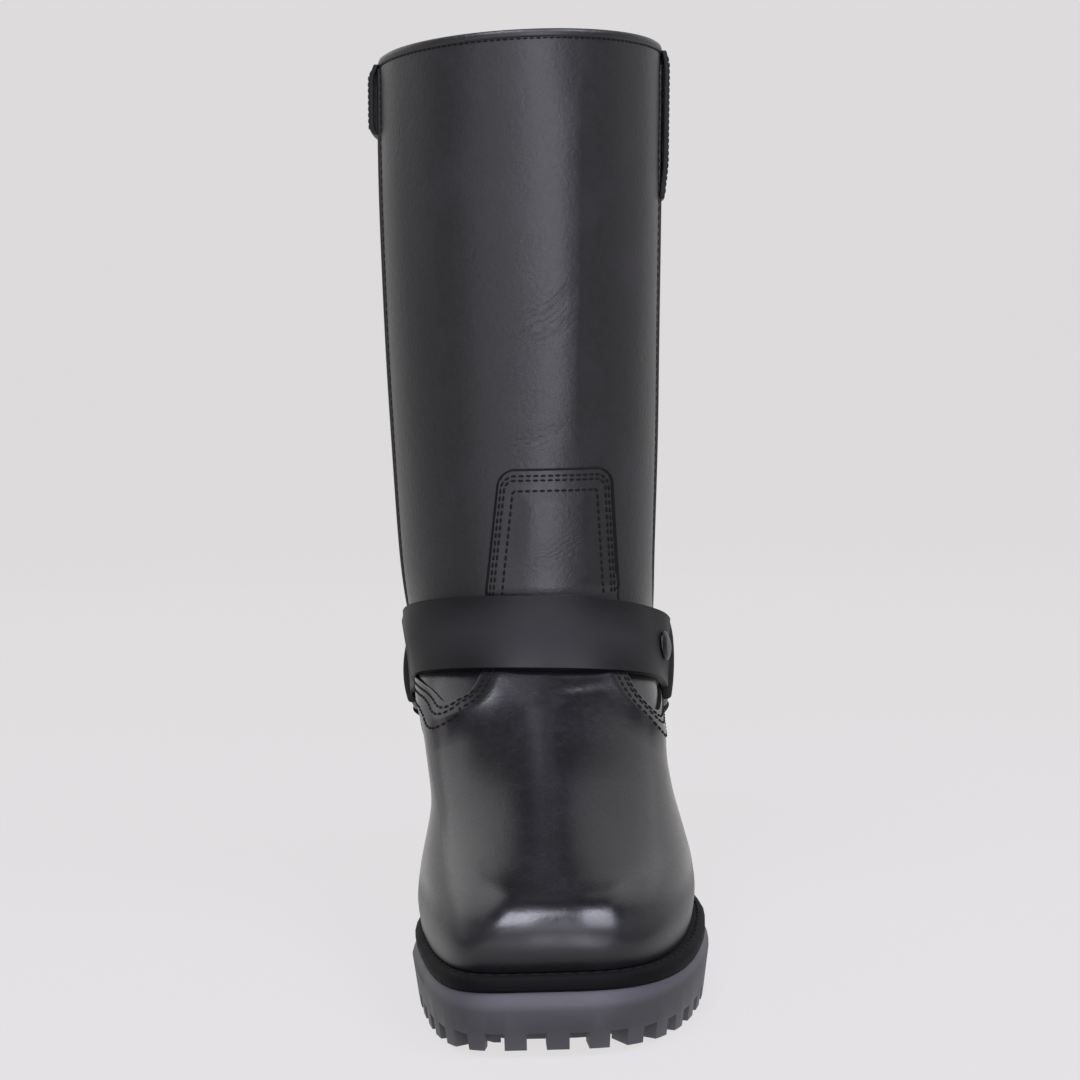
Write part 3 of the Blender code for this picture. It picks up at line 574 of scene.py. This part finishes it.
# Collar edge
# The top of the shaft is bound with a narrow folded strip of the same leather, sewn through just
# below it, so a rounded rim stands a little proud with a dark stitched line under it.

BINDING_THREAD_DROP = 2.9 * MM
BINDING_PITCH = 2.6 * MM
BINDING_THREAD = .7 * MM
# The foot of the leg's upright middle line.
LEG_AXIS = Vector((0, .073, 0))
# The folded strip in section, in mm: out from the shaft's face, and up from its top edge.
Section = namedtuple("Section", "out up")
BINDING = (
    Section(-.2, -2.5), Section(.5, -2.3), Section(.7, -1.7), Section(.7, -.6), Section(.4, .3),
    Section(-.4, .8), Section(-2, .8), Section(-2.8, .3), Section(-3.1, -1), Section(-3.1, -6),
    Section(-2.3, -6.4),
)


def grid_piece(columns, rows, place):
    """A grid of that many cells whose corners lie where place(across, along) says, each from 0 to 1."""
    bm = bmesh.new()
    bmesh.ops.create_grid(bm, x_segments=columns, y_segments=rows, size=.5)
    for vert in bm.verts:
        vert.co = place(vert.co.x + .5, vert.co.y + .5)
    bmesh.ops.remove_doubles(bm, verts=bm.verts, dist=MERGE)
    bmesh.ops.recalc_face_normals(bm, faces=bm.faces)
    return bm


def binding_place(round_part, over_part):
    """A point of the collar's binding: part of the way round the collar and over its section."""
    at = round(round_part * len(collar_line)) % len(collar_line)
    section = BINDING[round(over_part * (len(BINDING) - 1))]
    out = outward_at(collar_line, at, LEG_AXIS)
    return collar_line[at] + (out * section.out + Vector((0, 0, section.up))) * MM


bm = grid_piece(len(collar_line), len(BINDING) - 1, binding_place)
finish_piece("collar_binding", bm, [leather], "upper_leather", crisp=70)
bm = bmesh.new()
sew(bm, upper_skin, [point - Vector((0, 0, BINDING_THREAD_DROP)) for point in collar_line], BINDING_PITCH,
    BINDING_THREAD, closed=True)
finish_piece("collar_stitches", bm, [thread_black_and_hole_shade], "upper_leather")

# Side seams
# Front and back of the shaft are sewn together down both sides over a thin piping of folded leather,
# which shows as a dark bead along the outline, with a row of stitches on either side.

PIPING = 1.3 * MM
PIPING_SIDES = 10
SEAM_TOP, SEAM_FOOT = 350 * MM, 92 * MM
SEAM_ROW = 3.4 * MM
SEAM_PITCH, SEAM_THREAD = 3.4 * MM, .9 * MM
SEAM_ANGLE = 88
SEAM_STEPS = 90


def round_leg(angle, z):
    """The point and normal of the upper's skin at an angle round the leg, 0 in front, and a height."""
    axis = Vector((LEG_AXIS.x, LEG_AXIS.y, z))
    spot, normal, _, _ = upper_skin.ray_cast(axis, Vector((sin(angle), -cos(angle), 0)))
    return spot, normal


def seam_frame(angle, along):
    """A point of a side seam with the directions out of the leather and across the seam."""
    z = SEAM_FOOT + (SEAM_TOP - SEAM_FOOT) * along
    spot, normal = round_leg(angle, z)
    down = round_leg(angle, z - MM)[0] - spot
    return spot, normal, normal.cross(down).normalized()


bm_rows = bmesh.new()
for side, angle in (("medial", radians(-SEAM_ANGLE)), ("lateral", radians(SEAM_ANGLE))):
    def piping_place(around, along, angle=angle):
        """A point of the piping's round skin."""
        spot, normal, across = seam_frame(angle, along)
        turn = 2 * pi * around
        return spot + (normal * cos(turn) + across * sin(turn)) * PIPING

    bm = grid_piece(PIPING_SIDES, SEAM_STEPS, piping_place)
    bmesh.ops.holes_fill(bm, edges=[edge for edge in bm.edges if edge.is_boundary])
    finish_piece("side_piping_" + side, bm, [leather], "upper_leather", crisp=60)
    for shift in (-SEAM_ROW, SEAM_ROW):
        row = []
        for step in range(SEAM_STEPS + 1):
            spot, _, across = seam_frame(angle, step / SEAM_STEPS)
            row.append(spot + across * shift)
        sew(bm_rows, upper_skin, row, SEAM_PITCH, SEAM_THREAD)
finish_piece("side_seam_stitches", bm_rows, [thread_black_and_hole_shade], "upper_leather")

# Vamp tab
# The vamp runs up the shin in a square tab with round corners, laid over the shaft's leather and sewn
# down with two close rows near its edge and one more inside them.

# The tab's sizes in mm: its outline seen from the front, with sides that flare towards its foot, then the
# heights where the strap presses it flat, lets it go and leaves it full.
TAB_BOTTOM, TAB_TOP = 126, 185.8
TAB_LEFT, TAB_RIGHT = -12.3, 32.6
TAB_LEFT_FLARE, TAB_RIGHT_FLARE = 7.4, 2.6
TAB_CORNER, TAB_LEAST_CORNER = 6.5, 1.2
TAB_PRESSED, TAB_FREE, TAB_FULL = 135.5, 138.5, 162
TAB_UNDER_STRAP = .2
TAB_PUFF, TAB_PUFF_EASE = 1.1, 9
TAB_PITCH, TAB_THREAD = 2.9 * MM, 1.1 * MM
TAB_COLUMNS, TAB_LINES = 64, 64
TAB_SIDE_STEPS, TAB_TOP_STEPS = 60, 20
# The rows of stitches, in mm inside the tab's sides and inside its top.
SeamRow = namedtuple("SeamRow", "side top")
TAB_ROWS = (SeamRow(1.6, 2.8), SeamRow(3, 4.6), SeamRow(6.4, 8.7))
# How far inside the tab's cut the black edge dye and painted shadow reach, in mm.
TAB_DYE_AND_SHADOW = .8
# How a cut edge rises from the leather under it, in mm: distance inside the cut, and lift.
Rise = namedtuple("Rise", "inside lift")
CUT_EDGE = (Rise(0, -.5), Rise(.08, .95), Rise(.3, 1.4), Rise(.8, 1.5))


def cut_edge_lift(inside):
    """How high laid leather stands that far inside its cut edge, in mm."""
    for near, far in zip(CUT_EDGE, CUT_EDGE[1:]):
        if inside < far.inside:
            return near.lift + (far.lift - near.lift) * (inside - near.inside) / (far.inside - near.inside)
    return CUT_EDGE[-1].lift


def ease(part):
    """A smooth step from 0 to 1."""
    part = min(max(part, 0), 1)
    return part * part * (3 - 2 * part)


def crowd(part, power):
    """A part of the way from 0 to 1, with steps that crowd at both ends."""
    side = abs(2 * part - 1)
    return .5 + .5 * (1 - (1 - side) ** power) * (1 if part > .5 else -1)


def tab_sides(z):
    """The tab's left and right sides at a height, in mm, as if its corners were square."""
    down = (TAB_TOP - z) / (TAB_TOP - TAB_BOTTOM)
    return TAB_LEFT - TAB_LEFT_FLARE * down, TAB_RIGHT + TAB_RIGHT_FLARE * down


def tab_ends(z, side, top):
    """The tab's left and right ends at a height, in mm, that far inside its sides and its top."""
    corner = max(TAB_CORNER - side, TAB_LEAST_CORNER)
    over = z - (TAB_TOP - top - corner)
    cut = corner - sqrt(max(0, corner ** 2 - over ** 2)) if over > 0 else 0
    left, right = tab_sides(z)
    return left + side + cut, right - side - cut


def inside_tab(x, z):
    """How far a point lies inside the tab's sides and top, in mm."""
    left, right = tab_sides(z)
    from_side = min(x - left, right - x)
    from_top = TAB_TOP - z
    if from_side < TAB_CORNER and from_top < TAB_CORNER:
        return TAB_CORNER - hypot(TAB_CORNER - from_side, TAB_CORNER - from_top)
    return min(from_side, from_top)


def from_front(x, z, ground):
    """The point and normal that a straight look from the front meets, from millimetres."""
    spot, normal, _, _ = ground.ray_cast(Vector((x * MM, -1, z * MM)), Vector((0, 1, 0)))
    return spot, normal


def tab_place(across, along):
    """A point of the tab, lifted off the shaft, puffed inside its rows and pressed flat under the strap."""
    z = TAB_BOTTOM + (TAB_TOP - TAB_BOTTOM) * (1 - (1 - along) ** 2)
    left, right = tab_ends(z, 0, 0)
    x = left + (right - left) * crowd(across, 2)
    spot, normal = from_front(x, z, upper_skin)
    inside = inside_tab(x, z)
    full = ease((z - TAB_PRESSED) / (TAB_FULL - TAB_PRESSED))
    lift = cut_edge_lift(inside) + TAB_PUFF * full * ease((inside - TAB_ROWS[-1].side) / TAB_PUFF_EASE)
    free = ease((z - TAB_PRESSED) / (TAB_FREE - TAB_PRESSED))
    return spot + normal * MM * (lift * free + min(lift, TAB_UNDER_STRAP) * (1 - free))


# Edge dye: a black stain brushed along a cut, quite matt. Laid a little way over the leather beside the
# cut, it is also painted shadow along the raised edge.
edge_dye_and_shadow = new_material("black_edge_dye_and_painted_shadow")
place = add_node(edge_dye_and_shadow, "TexCoord").outputs["Object"]
brushed = add_node(edge_dye_and_shadow, "TexNoise", {}, {"Vector": place, "Scale": 1 / MM, "Detail": 3})
tone = add_node(edge_dye_and_shadow, "Mix", {"data_type": "RGBA"}, {0: brushed.outputs["Fac"], 6: linear("#050405"),
                                                         7: linear("#0e0d0f")})
shader = add_node(edge_dye_and_shadow, "BsdfPrincipled", {}, {"Base Color": tone.outputs[2], "Roughness": .8,
                                                   "Specular IOR Level": .15})
add_node(edge_dye_and_shadow, "OutputMaterial", {}, {"Surface": shader.outputs[0]})

bm = grid_piece(TAB_COLUMNS, TAB_LINES, tab_place)
# Faces near the tab's cut take the black edge dye, which also paints shadow along the raised edge.
for face in bm.faces:
    middle = face.calc_center_median() / MM
    if inside_tab(middle.x, middle.z) < TAB_DYE_AND_SHADOW:
        face.material_index = 1
bm.normal_update()
mark_wrinkles(bm)
tab_top = BVHTree.FromBMesh(bm)
finish_piece("vamp_tab", bm, [leather, edge_dye_and_shadow], "upper_leather", crisp=60)
bm = bmesh.new()
for side, top in TAB_ROWS:
    tall = TAB_TOP - top - TAB_PRESSED
    heights = [TAB_PRESSED + tall * (1 - (1 - step / TAB_SIDE_STEPS) ** 2)
               for step in range(TAB_SIDE_STEPS + 1)]
    left, right = tab_ends(heights[-1], side, top)
    outline = [(tab_ends(z, side, top)[0], z) for z in heights]
    outline += [(left + (right - left) * step / TAB_TOP_STEPS, heights[-1])
                for step in range(1, TAB_TOP_STEPS)]
    outline += [(tab_ends(z, side, top)[1], z) for z in reversed(heights)]
    sew(bm, tab_top, [from_front(x, z, tab_top)[0] for x, z in outline], TAB_PITCH, TAB_THREAD)
finish_piece("tab_stitches", bm, [thread_black_and_hole_shade], "upper_leather")

# Vamp edges
# On each side of the tab the vamp's cut edge drops under the strap, turns in a V and runs back to the
# waist. It lies over the shaft's leather, skived to nothing on its inner side, with the tab's three rows.

VAMP_EDGE_WIDTH = 30 * MM
VAMP_EDGE_FLAT = 9 * MM
VAMP_EDGE_SINK = .03
VAMP_EDGE_CROWDING = 2.2
UNDER_STRAP_END, STRAP_CLEAR = .06, .13
VAMP_EDGE_COLUMNS, VAMP_EDGE_LINES = 24, 150
# How far from the vamp's cut the black edge dye and painted shadow reach.
VAMP_DYE_AND_SHADOW = 1.44 * MM
CUT_LINE_STEPS = 400
# The edge's direction is taken that part of its length ahead and behind.
EDGE_PROBE = .004
VAMP_ROWS = (2.3, 4.5, 8.8)
# The cut edge on either side from under the strap to the waist, in mm: across, back and up, and how wide
# the rows of stitches spread there.
EdgePoint = namedtuple("EdgePoint", "x y z spread")
VAMP_EDGES = (
    ("medial", 1, (
        EdgePoint(-20, -3, 122, .6), EdgePoint(-21.5, -8, 108, .6), EdgePoint(-24.5, -10.7, 101.2, .65),
        EdgePoint(-29, -10.3, 98.6, .9), EdgePoint(-33.8, -8.4, 96.7, 1.35), EdgePoint(-37.5, 0, 99, 1.1),
        EdgePoint(-41, 9, 100.8, 1), EdgePoint(-45.7, 33.5, 102.2, 1), EdgePoint(-48, 55, 96, 1),
        EdgePoint(-46, 73, 76, 1), EdgePoint(-43, 79, 50, 1),
    )),
    ("lateral", -1, (
        EdgePoint(35, 6, 122, .7), EdgePoint(35.6, 4, 108, .7), EdgePoint(38.6, -1.6, 99.4, .75),
        EdgePoint(42.7, -3.1, 94, .9), EdgePoint(46.9, 1.1, 90.6, 1.2), EdgePoint(50, 12, 92.5, 1),
        EdgePoint(53, 34, 96, 1), EdgePoint(54, 50, 91, 1), EdgePoint(51, 62, 74, 1),
        EdgePoint(47, 68, 52, 1),
    )),
)


def curve_through(points, part):
    """A point that part of the way along a smooth curve through a few points."""
    last = len(points) - 1
    at = min(int(part * last), last - 1)
    t = part * last - at
    before, start, end, after = (Vector(points[min(max(near, 0), last)]) for near in range(at - 1, at + 3))
    return .5 * (2 * start + (end - before) * t + (2 * before - 5 * start + 4 * end - after) * t ** 2
                 + (3 * start - before - 3 * end + after) * t ** 3)


def edge_spot(points, along):
    """A point of the cut edge on the upper's skin, and the normal there."""
    x, y, z, _ = curve_through(points, along)
    return round_leg(atan2(x, LEG_AXIS.y / MM - y), z * MM)


def inside_edge(points, turn, along, inset):
    """A point on the upper's skin that far inside the vamp from its cut edge, and the normal there."""
    spot, normal = edge_spot(points, along)
    ahead, behind = min(along + EDGE_PROBE, 1), max(along - EDGE_PROBE, 0)
    run = edge_spot(points, ahead)[0] - edge_spot(points, behind)[0]
    inward = normal.cross(run).normalized() * turn
    near, normal, _, _ = upper_skin.find_nearest(spot + inward * inset)
    return near, normal


bm_rows = bmesh.new()
for side, turn, points in VAMP_EDGES:
    def vamp_edge_place(across, along, points=points, turn=turn):
        """A point of the vamp's edge, full thickness at the cut and skived away inside."""
        inset = VAMP_EDGE_WIDTH * across ** VAMP_EDGE_CROWDING
        spot, normal = inside_edge(points, turn, along, inset)
        left = min(1, (VAMP_EDGE_WIDTH - inset) / (VAMP_EDGE_WIDTH - VAMP_EDGE_FLAT))
        lift = cut_edge_lift(inset / MM)
        clear = ease((along - UNDER_STRAP_END) / (STRAP_CLEAR - UNDER_STRAP_END))
        pressed = lift * clear + min(lift, TAB_UNDER_STRAP) * (1 - clear)
        return spot + normal * MM * (pressed * left ** 3 - VAMP_EDGE_SINK)

    bm = grid_piece(VAMP_EDGE_COLUMNS, VAMP_EDGE_LINES, vamp_edge_place)
    if sum(face.normal.dot(face.calc_center_median() - LEG_AXIS) for face in bm.faces) < 0:
        bmesh.ops.reverse_faces(bm, faces=bm.faces)
    edge_top = BVHTree.FromBMesh(bm)
    cut_line = [edge_spot(points, step / CUT_LINE_STEPS)[0] for step in range(CUT_LINE_STEPS + 1)]
    # Faces near the cut take the black edge dye, which also paints shadow along the raised edge.
    for face in bm.faces:
        middle = face.calc_center_median()
        if min((spot - middle).length for spot in cut_line) < VAMP_DYE_AND_SHADOW:
            face.material_index = 1
    finish_piece("vamp_edge_" + side, bm, [leather, edge_dye_and_shadow], "upper_leather", crisp=60)
    for inset in VAMP_ROWS:
        row = []
        for step in range(VAMP_EDGE_LINES + 1):
            along = UNDER_STRAP_END + (1 - UNDER_STRAP_END) * step / VAMP_EDGE_LINES
            spread = curve_through(points, along).w
            row.append(inside_edge(points, turn, along, inset * MM * spread)[0])
        sew(bm_rows, edge_top, row, TAB_PITCH, TAB_THREAD)
finish_piece("vamp_edge_stitches", bm_rows, [thread_black_and_hole_shade], "upper_leather")

# Rings
# Round welded wire rings, nickel plated, one at each side of the ankle. They are held loosely in the
# folds of the straps that meet there.

RING_DETAIL = 2
NICKEL_SMUDGE = 5 * MM

# Nickel plate: a warm grey metal whose colour is painted dark as painted shade, a little brushed by wear
# and smudged by fingers.
nickel = new_material("nickel_plate_painted_shade")
place = add_node(nickel, "TexCoord").outputs["Object"]
smudge = add_node(nickel, "TexNoise", {}, {"Vector": place, "Scale": 1 / NICKEL_SMUDGE, "Detail": 5})
# Darker than bright nickel: painted shade, since the rings sit in shadow.
tone = add_node(nickel, "Mix", {"data_type": "RGBA"}, {0: smudge.outputs["Fac"], 6: linear("#5b5955"),
                                                       7: linear("#7d7a74")})
dull = add_node(nickel, "MapRange", {}, {"Value": smudge.outputs["Fac"], "To Min": .14, "To Max": .34})
shader = add_node(nickel, "BsdfPrincipled", {}, {"Base Color": tone.outputs[2], "Metallic": 1,
                                                 "Roughness": dull.outputs[0]})
add_node(nickel, "OutputMaterial", {}, {"Surface": shader.outputs[0]})

for side in ("medial", "lateral"):
    wire = cad_copy("ring_" + side)
    quads_of(wire)
    bm = smooth_through(wire, RING_DETAIL)
    finish_piece("nickel_ring_" + side, bm, [nickel], "nickel", "ring_" + side, crisp=60)

# Harness straps
# Four straps of thick black bridle leather meet in the rings: over the instep, round the heel and down
# to the welt on each side. Their ends fold round the wire, and the cut edges are dyed and burnished.

STRAP_EDGE = .75 * MM
STRAP_DETAIL = 2
STRAP_SLEEK = 14 * MM
# The grain is drawn coarser than it is, so that it shows.
STRAP_GRAIN = 1.1 * MM

# Bridle leather: flatter and smoother than the upper, waxed matt, with glossier rubbed edges.
bridle = new_material("black_bridle_leather")
place = add_node(bridle, "TexCoord").outputs["Object"]
rub = add_node(bridle, "Attribute", {"attribute_name": "rub"}).outputs["Fac"]
patch = add_node(bridle, "TexNoise", {}, {"Vector": place, "Scale": 1 / STRAP_SLEEK, "Detail": 5})
grain = add_node(bridle, "TexVoronoi", {"feature": "SMOOTH_F1"}, {
    "Vector": place, "Scale": 1 / STRAP_GRAIN, "Smoothness": .5})
tone = add_node(bridle, "Mix", {"data_type": "RGBA"}, {0: patch.outputs["Fac"], 6: linear("#151416"),
                                                       7: linear("#222022")})
edged = add_node(bridle, "Mix", {"data_type": "RGBA"}, {0: rub, 6: tone.outputs[2], 7: linear("#0d0c0e")})
dull = add_node(bridle, "MapRange", {}, {"Value": patch.outputs["Fac"], "To Min": .6, "To Max": .74})
sleek = add_node(bridle, "MapRange", {}, {"Value": rub, "To Min": 1, "To Max": .75})
gloss = add_node(bridle, "Math", {"operation": "MULTIPLY"}, {0: dull.outputs[0], 1: sleek.outputs[0]})
bump = add_node(bridle, "Bump", {}, {"Height": grain.outputs["Distance"], "Strength": .1,
                                     "Distance": .1 * MM})
shader = add_node(bridle, "BsdfPrincipled", {}, {
    "Base Color": edged.outputs[2], "Roughness": gloss.outputs[0], "Normal": bump.outputs[0],
    "Specular IOR Level": .22})
add_node(bridle, "OutputMaterial", {}, {"Surface": shader.outputs[0]})


def cut_leather(node, edge):
    """A copy of a flat leather node with its cut edges rounded, and the rub attribute set along them."""
    bm = cad_copy(node)
    quads_of(bm)
    rub_layer = bm.verts.layers.float.new("rub")
    for face in round_edges(bm, CUT_SHARP, edge)["faces"]:
        for vert in face.verts:
            vert[rub_layer] = 1
    return bm


def smooth_live(piece, levels):
    """Leave a subdivision on a piece, the same in the viewport and the render."""
    smoothing = piece.modifiers.new("smooth", "SUBSURF")
    smoothing.levels = smoothing.render_levels = levels


for node in ("front_strap", "heel_strap", "under_strap_medial", "under_strap_lateral"):
    bm = cut_leather(node, STRAP_EDGE)
    piece = finish_piece(node + "_leather", bm, [bridle], "strap_leather", node, crisp=180)
    smooth_live(piece, STRAP_DETAIL)

# Stud
# A domed button stud of blackened metal, pressed through the lateral end of the instep strap. It holds
# the end down and stays fastened.

STUD_EDGE = .25 * MM
STUD_DETAIL = 2
OXIDE_WEAR = 2.5 * MM

# Black oxide on steel: a dark satin metal that shines at the edge of its dome.
black_oxide = new_material("black_oxide_steel")
place = add_node(black_oxide, "TexCoord").outputs["Object"]
wear = add_node(black_oxide, "TexNoise", {}, {"Vector": place, "Scale": 1 / OXIDE_WEAR, "Detail": 5})
tone = add_node(black_oxide, "Mix", {"data_type": "RGBA"}, {0: wear.outputs["Fac"], 6: linear("#1c1c1e"),
                                                            7: linear("#4b4b4e")})
dull = add_node(black_oxide, "MapRange", {}, {"Value": wear.outputs["Fac"], "To Min": .25, "To Max": .45})
shader = add_node(black_oxide, "BsdfPrincipled", {}, {"Base Color": tone.outputs[2], "Metallic": 1,
                                                      "Roughness": dull.outputs[0]})
add_node(black_oxide, "OutputMaterial", {}, {"Surface": shader.outputs[0]})

bm = cad_copy("stud_lateral")
quads_of(bm)
round_edges(bm, CUT_SHARP, STUD_EDGE)
piece = finish_piece("stud_button", bm, [black_oxide], "black_metal", "stud_lateral", crisp=180)
smooth_live(piece, STUD_DETAIL)

# Pulls
# A leather pull is sewn on at each side of the collar to draw the boot on by: a short folded tab on the
# medial side and a longer loop on the lateral side, both stitched along their edges.

PULL_EDGE = .6 * MM
PULL_ROW_INSET = 2.2 * MM
PULL_PITCH, PULL_THREAD = 2.6 * MM, .6 * MM
PULL_DETAIL = 2
PULL_STEPS = 30
BESIDE = 200 * MM

bm_rows = bmesh.new()
for side, outward in (("medial", -1), ("lateral", 1)):
    node = "pull_loop_" + side
    bm = cut_leather(node, PULL_EDGE)
    pull_face = BVHTree.FromBMesh(bm)
    piece = finish_piece(node + "_leather", bm, [bridle], "strap_leather", node, crisp=180)
    smooth_live(piece, PULL_DETAIL)
    low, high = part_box(node)
    for y in (low.y + PULL_ROW_INSET, high.y - PULL_ROW_INSET):
        row = []
        for step in range(PULL_STEPS + 1):
            z = low.z + PULL_ROW_INSET + (high.z - low.z - 2 * PULL_ROW_INSET) * step / PULL_STEPS
            hit = pull_face.ray_cast(Vector((outward * BESIDE, y, z)), Vector((-outward, 0, 0)))[0]
            if hit:
                row.append(hit)
        sew(bm_rows, pull_face, row, PULL_PITCH, PULL_THREAD)
finish_piece("pull_stitches", bm_rows, [thread_black_and_hole_shade], "strap_leather")

# Camera, floor and light
# The photograph's view from the front, a pale seamless floor and soft boxes round the boot. The floor is
# a sheet that bends up behind the boot and glows, so that it stays even.

CAMERA_PLACE = Vector((-23.66, -850.70, 215.0)) * MM
CAMERA_RIGHT = Vector((.9993, -.0326, -.0174))
CAMERA_UP = Vector((.0195, .0657, .9976))
CAMERA_LENS, CAMERA_SENSOR = 73.33, 36

camera = bpy.data.objects.new("camera", bpy.data.cameras.new("camera"))
camera.data.lens = CAMERA_LENS
camera.data.sensor_width = CAMERA_SENSOR
camera.matrix_world = Matrix.Translation(CAMERA_PLACE) @ Matrix(
    (CAMERA_RIGHT, CAMERA_UP, CAMERA_RIGHT.cross(CAMERA_UP))).transposed().to_4x4()
bpy.context.collection.objects.link(camera)
bpy.context.scene.camera = camera
bpy.context.scene.view_settings.view_transform = "Standard"

BACKDROP = "#dfddde"
FLOOR_FRONT, FLOOR_BACK, FLOOR_BEND, FLOOR_RISE, FLOOR_HALF = -2.5, 1.6, .9, .7, 3.0
FLOOR_COLUMNS, FLOOR_LINES = 2, 80
FLOOR_TOOTH = 2 * MM


def floor_place(across, along):
    """A point of the seamless sheet: level floor, a wide bend, then an upright wall."""
    level = FLOOR_BACK - FLOOR_FRONT
    bend = FLOOR_BEND * pi / 2
    run = along * (level + bend + FLOOR_RISE)
    x = (across - .5) * 2 * FLOOR_HALF
    if run < level:
        return Vector((x, FLOOR_FRONT + run, 0))
    if run < level + bend:
        turn = (run - level) / FLOOR_BEND
        return Vector((x, FLOOR_BACK + FLOOR_BEND * sin(turn), FLOOR_BEND * (1 - cos(turn))))
    return Vector((x, FLOOR_BACK + FLOOR_BEND, FLOOR_BEND + run - level - bend))


# Lit acrylic: a pale matt sheet with light behind it, so it stays even and takes only a faint shadow.
acrylic = new_material("lit_acrylic")
place = add_node(acrylic, "TexCoord").outputs["Object"]
tooth = add_node(acrylic, "TexNoise", {}, {"Vector": place, "Scale": 1 / FLOOR_TOOTH, "Detail": 2})
bump = add_node(acrylic, "Bump", {}, {"Height": tooth.outputs["Fac"], "Strength": .03, "Distance": .05 * MM})
shader = add_node(acrylic, "BsdfPrincipled", {}, {
    "Base Color": linear("#3c3b3c"), "Roughness": .9, "Specular IOR Level": .1, "Normal": bump.outputs[0],
    "Emission Color": linear(BACKDROP), "Emission Strength": .95})
add_node(acrylic, "OutputMaterial", {}, {"Surface": shader.outputs[0]})
bm = grid_piece(FLOOR_COLUMNS, FLOOR_LINES, floor_place)
mesh = bpy.data.meshes.new("floor")
bm.to_mesh(mesh)
bm.free()
mesh.shade_smooth()
mesh.materials.append(acrylic)
floor = bpy.data.objects.new("floor", mesh)
bpy.context.collection.objects.link(floor)

# A dim grey studio, darker overhead.
world = bpy.data.worlds.new("studio")
world.use_nodes = True
world.node_tree.nodes.clear()
look = add_node(world, "TexCoord").outputs["Generated"]
up = add_node(world, "SeparateXYZ", {}, {"Vector": look}).outputs["Z"]
glow = add_node(world, "MapRange", {}, {"Value": up, "From Max": .8, "To Min": .42, "To Max": .06})
sky = add_node(world, "Background", {}, {"Color": linear(BACKDROP), "Strength": glow.outputs[0]})
add_node(world, "OutputWorld", {}, {"Surface": sky.outputs[0]})
bpy.context.scene.world = world

SoftBox = namedtuple("SoftBox", "name place target width height watts colour")
SOFT_BOXES = (
    SoftBox("shin_strip", (.33, -1.15, .34), (0, .02, .25), .62, .76, 8.2, "#f1f0ff"),
    SoftBox("toe_left", (-.17, -.31, 1.05), (0, -.13, .05), .46, .36, 7.4, "#eef0ff"),
    SoftBox("toe_right", (.50, -.30, 1.05), (0, -.13, .05), .46, .36, 6.8, "#eef0ff"),
    SoftBox("toe_front", (.03, -.84, .98), (0, -.13, .05), .9, .42, 3.2, "#f4f2ff"),
    SoftBox("left_box", (-.72, .82, .95), (0, 0, .08), .8, .8, 2.2, "#ffffff"),
    SoftBox("right_box", (.72, .82, .95), (0, 0, .08), .8, .8, 1.2, "#ffffff"),
    SoftBox("side_left", (-.98, .22, .55), (0, -.1, .06), .5, .4, .5, "#fff8fb"),
    SoftBox("side_right", (1.02, .2, .50), (0, -.1, .06), .5, .4, .3, "#fff8fb"),
    SoftBox("front_fill", (-.60, -1.05, .30), (0, 0, .2), 1.0, .8, 3.2, "#f4f4ff"),
)
for box in SOFT_BOXES:
    light = bpy.data.lights.new(box.name, "AREA")
    light.shape = "RECTANGLE"
    light.size, light.size_y = box.width, box.height
    light.energy = box.watts
    light.color = linear(box.colour)[:3]
    lamp = bpy.data.objects.new(box.name, light)
    lamp.location = box.place
    lamp.rotation_euler = (Vector(box.target) - Vector(box.place)).to_track_quat("-Z", "Y").to_euler()
    bpy.context.collection.objects.link(lamp)
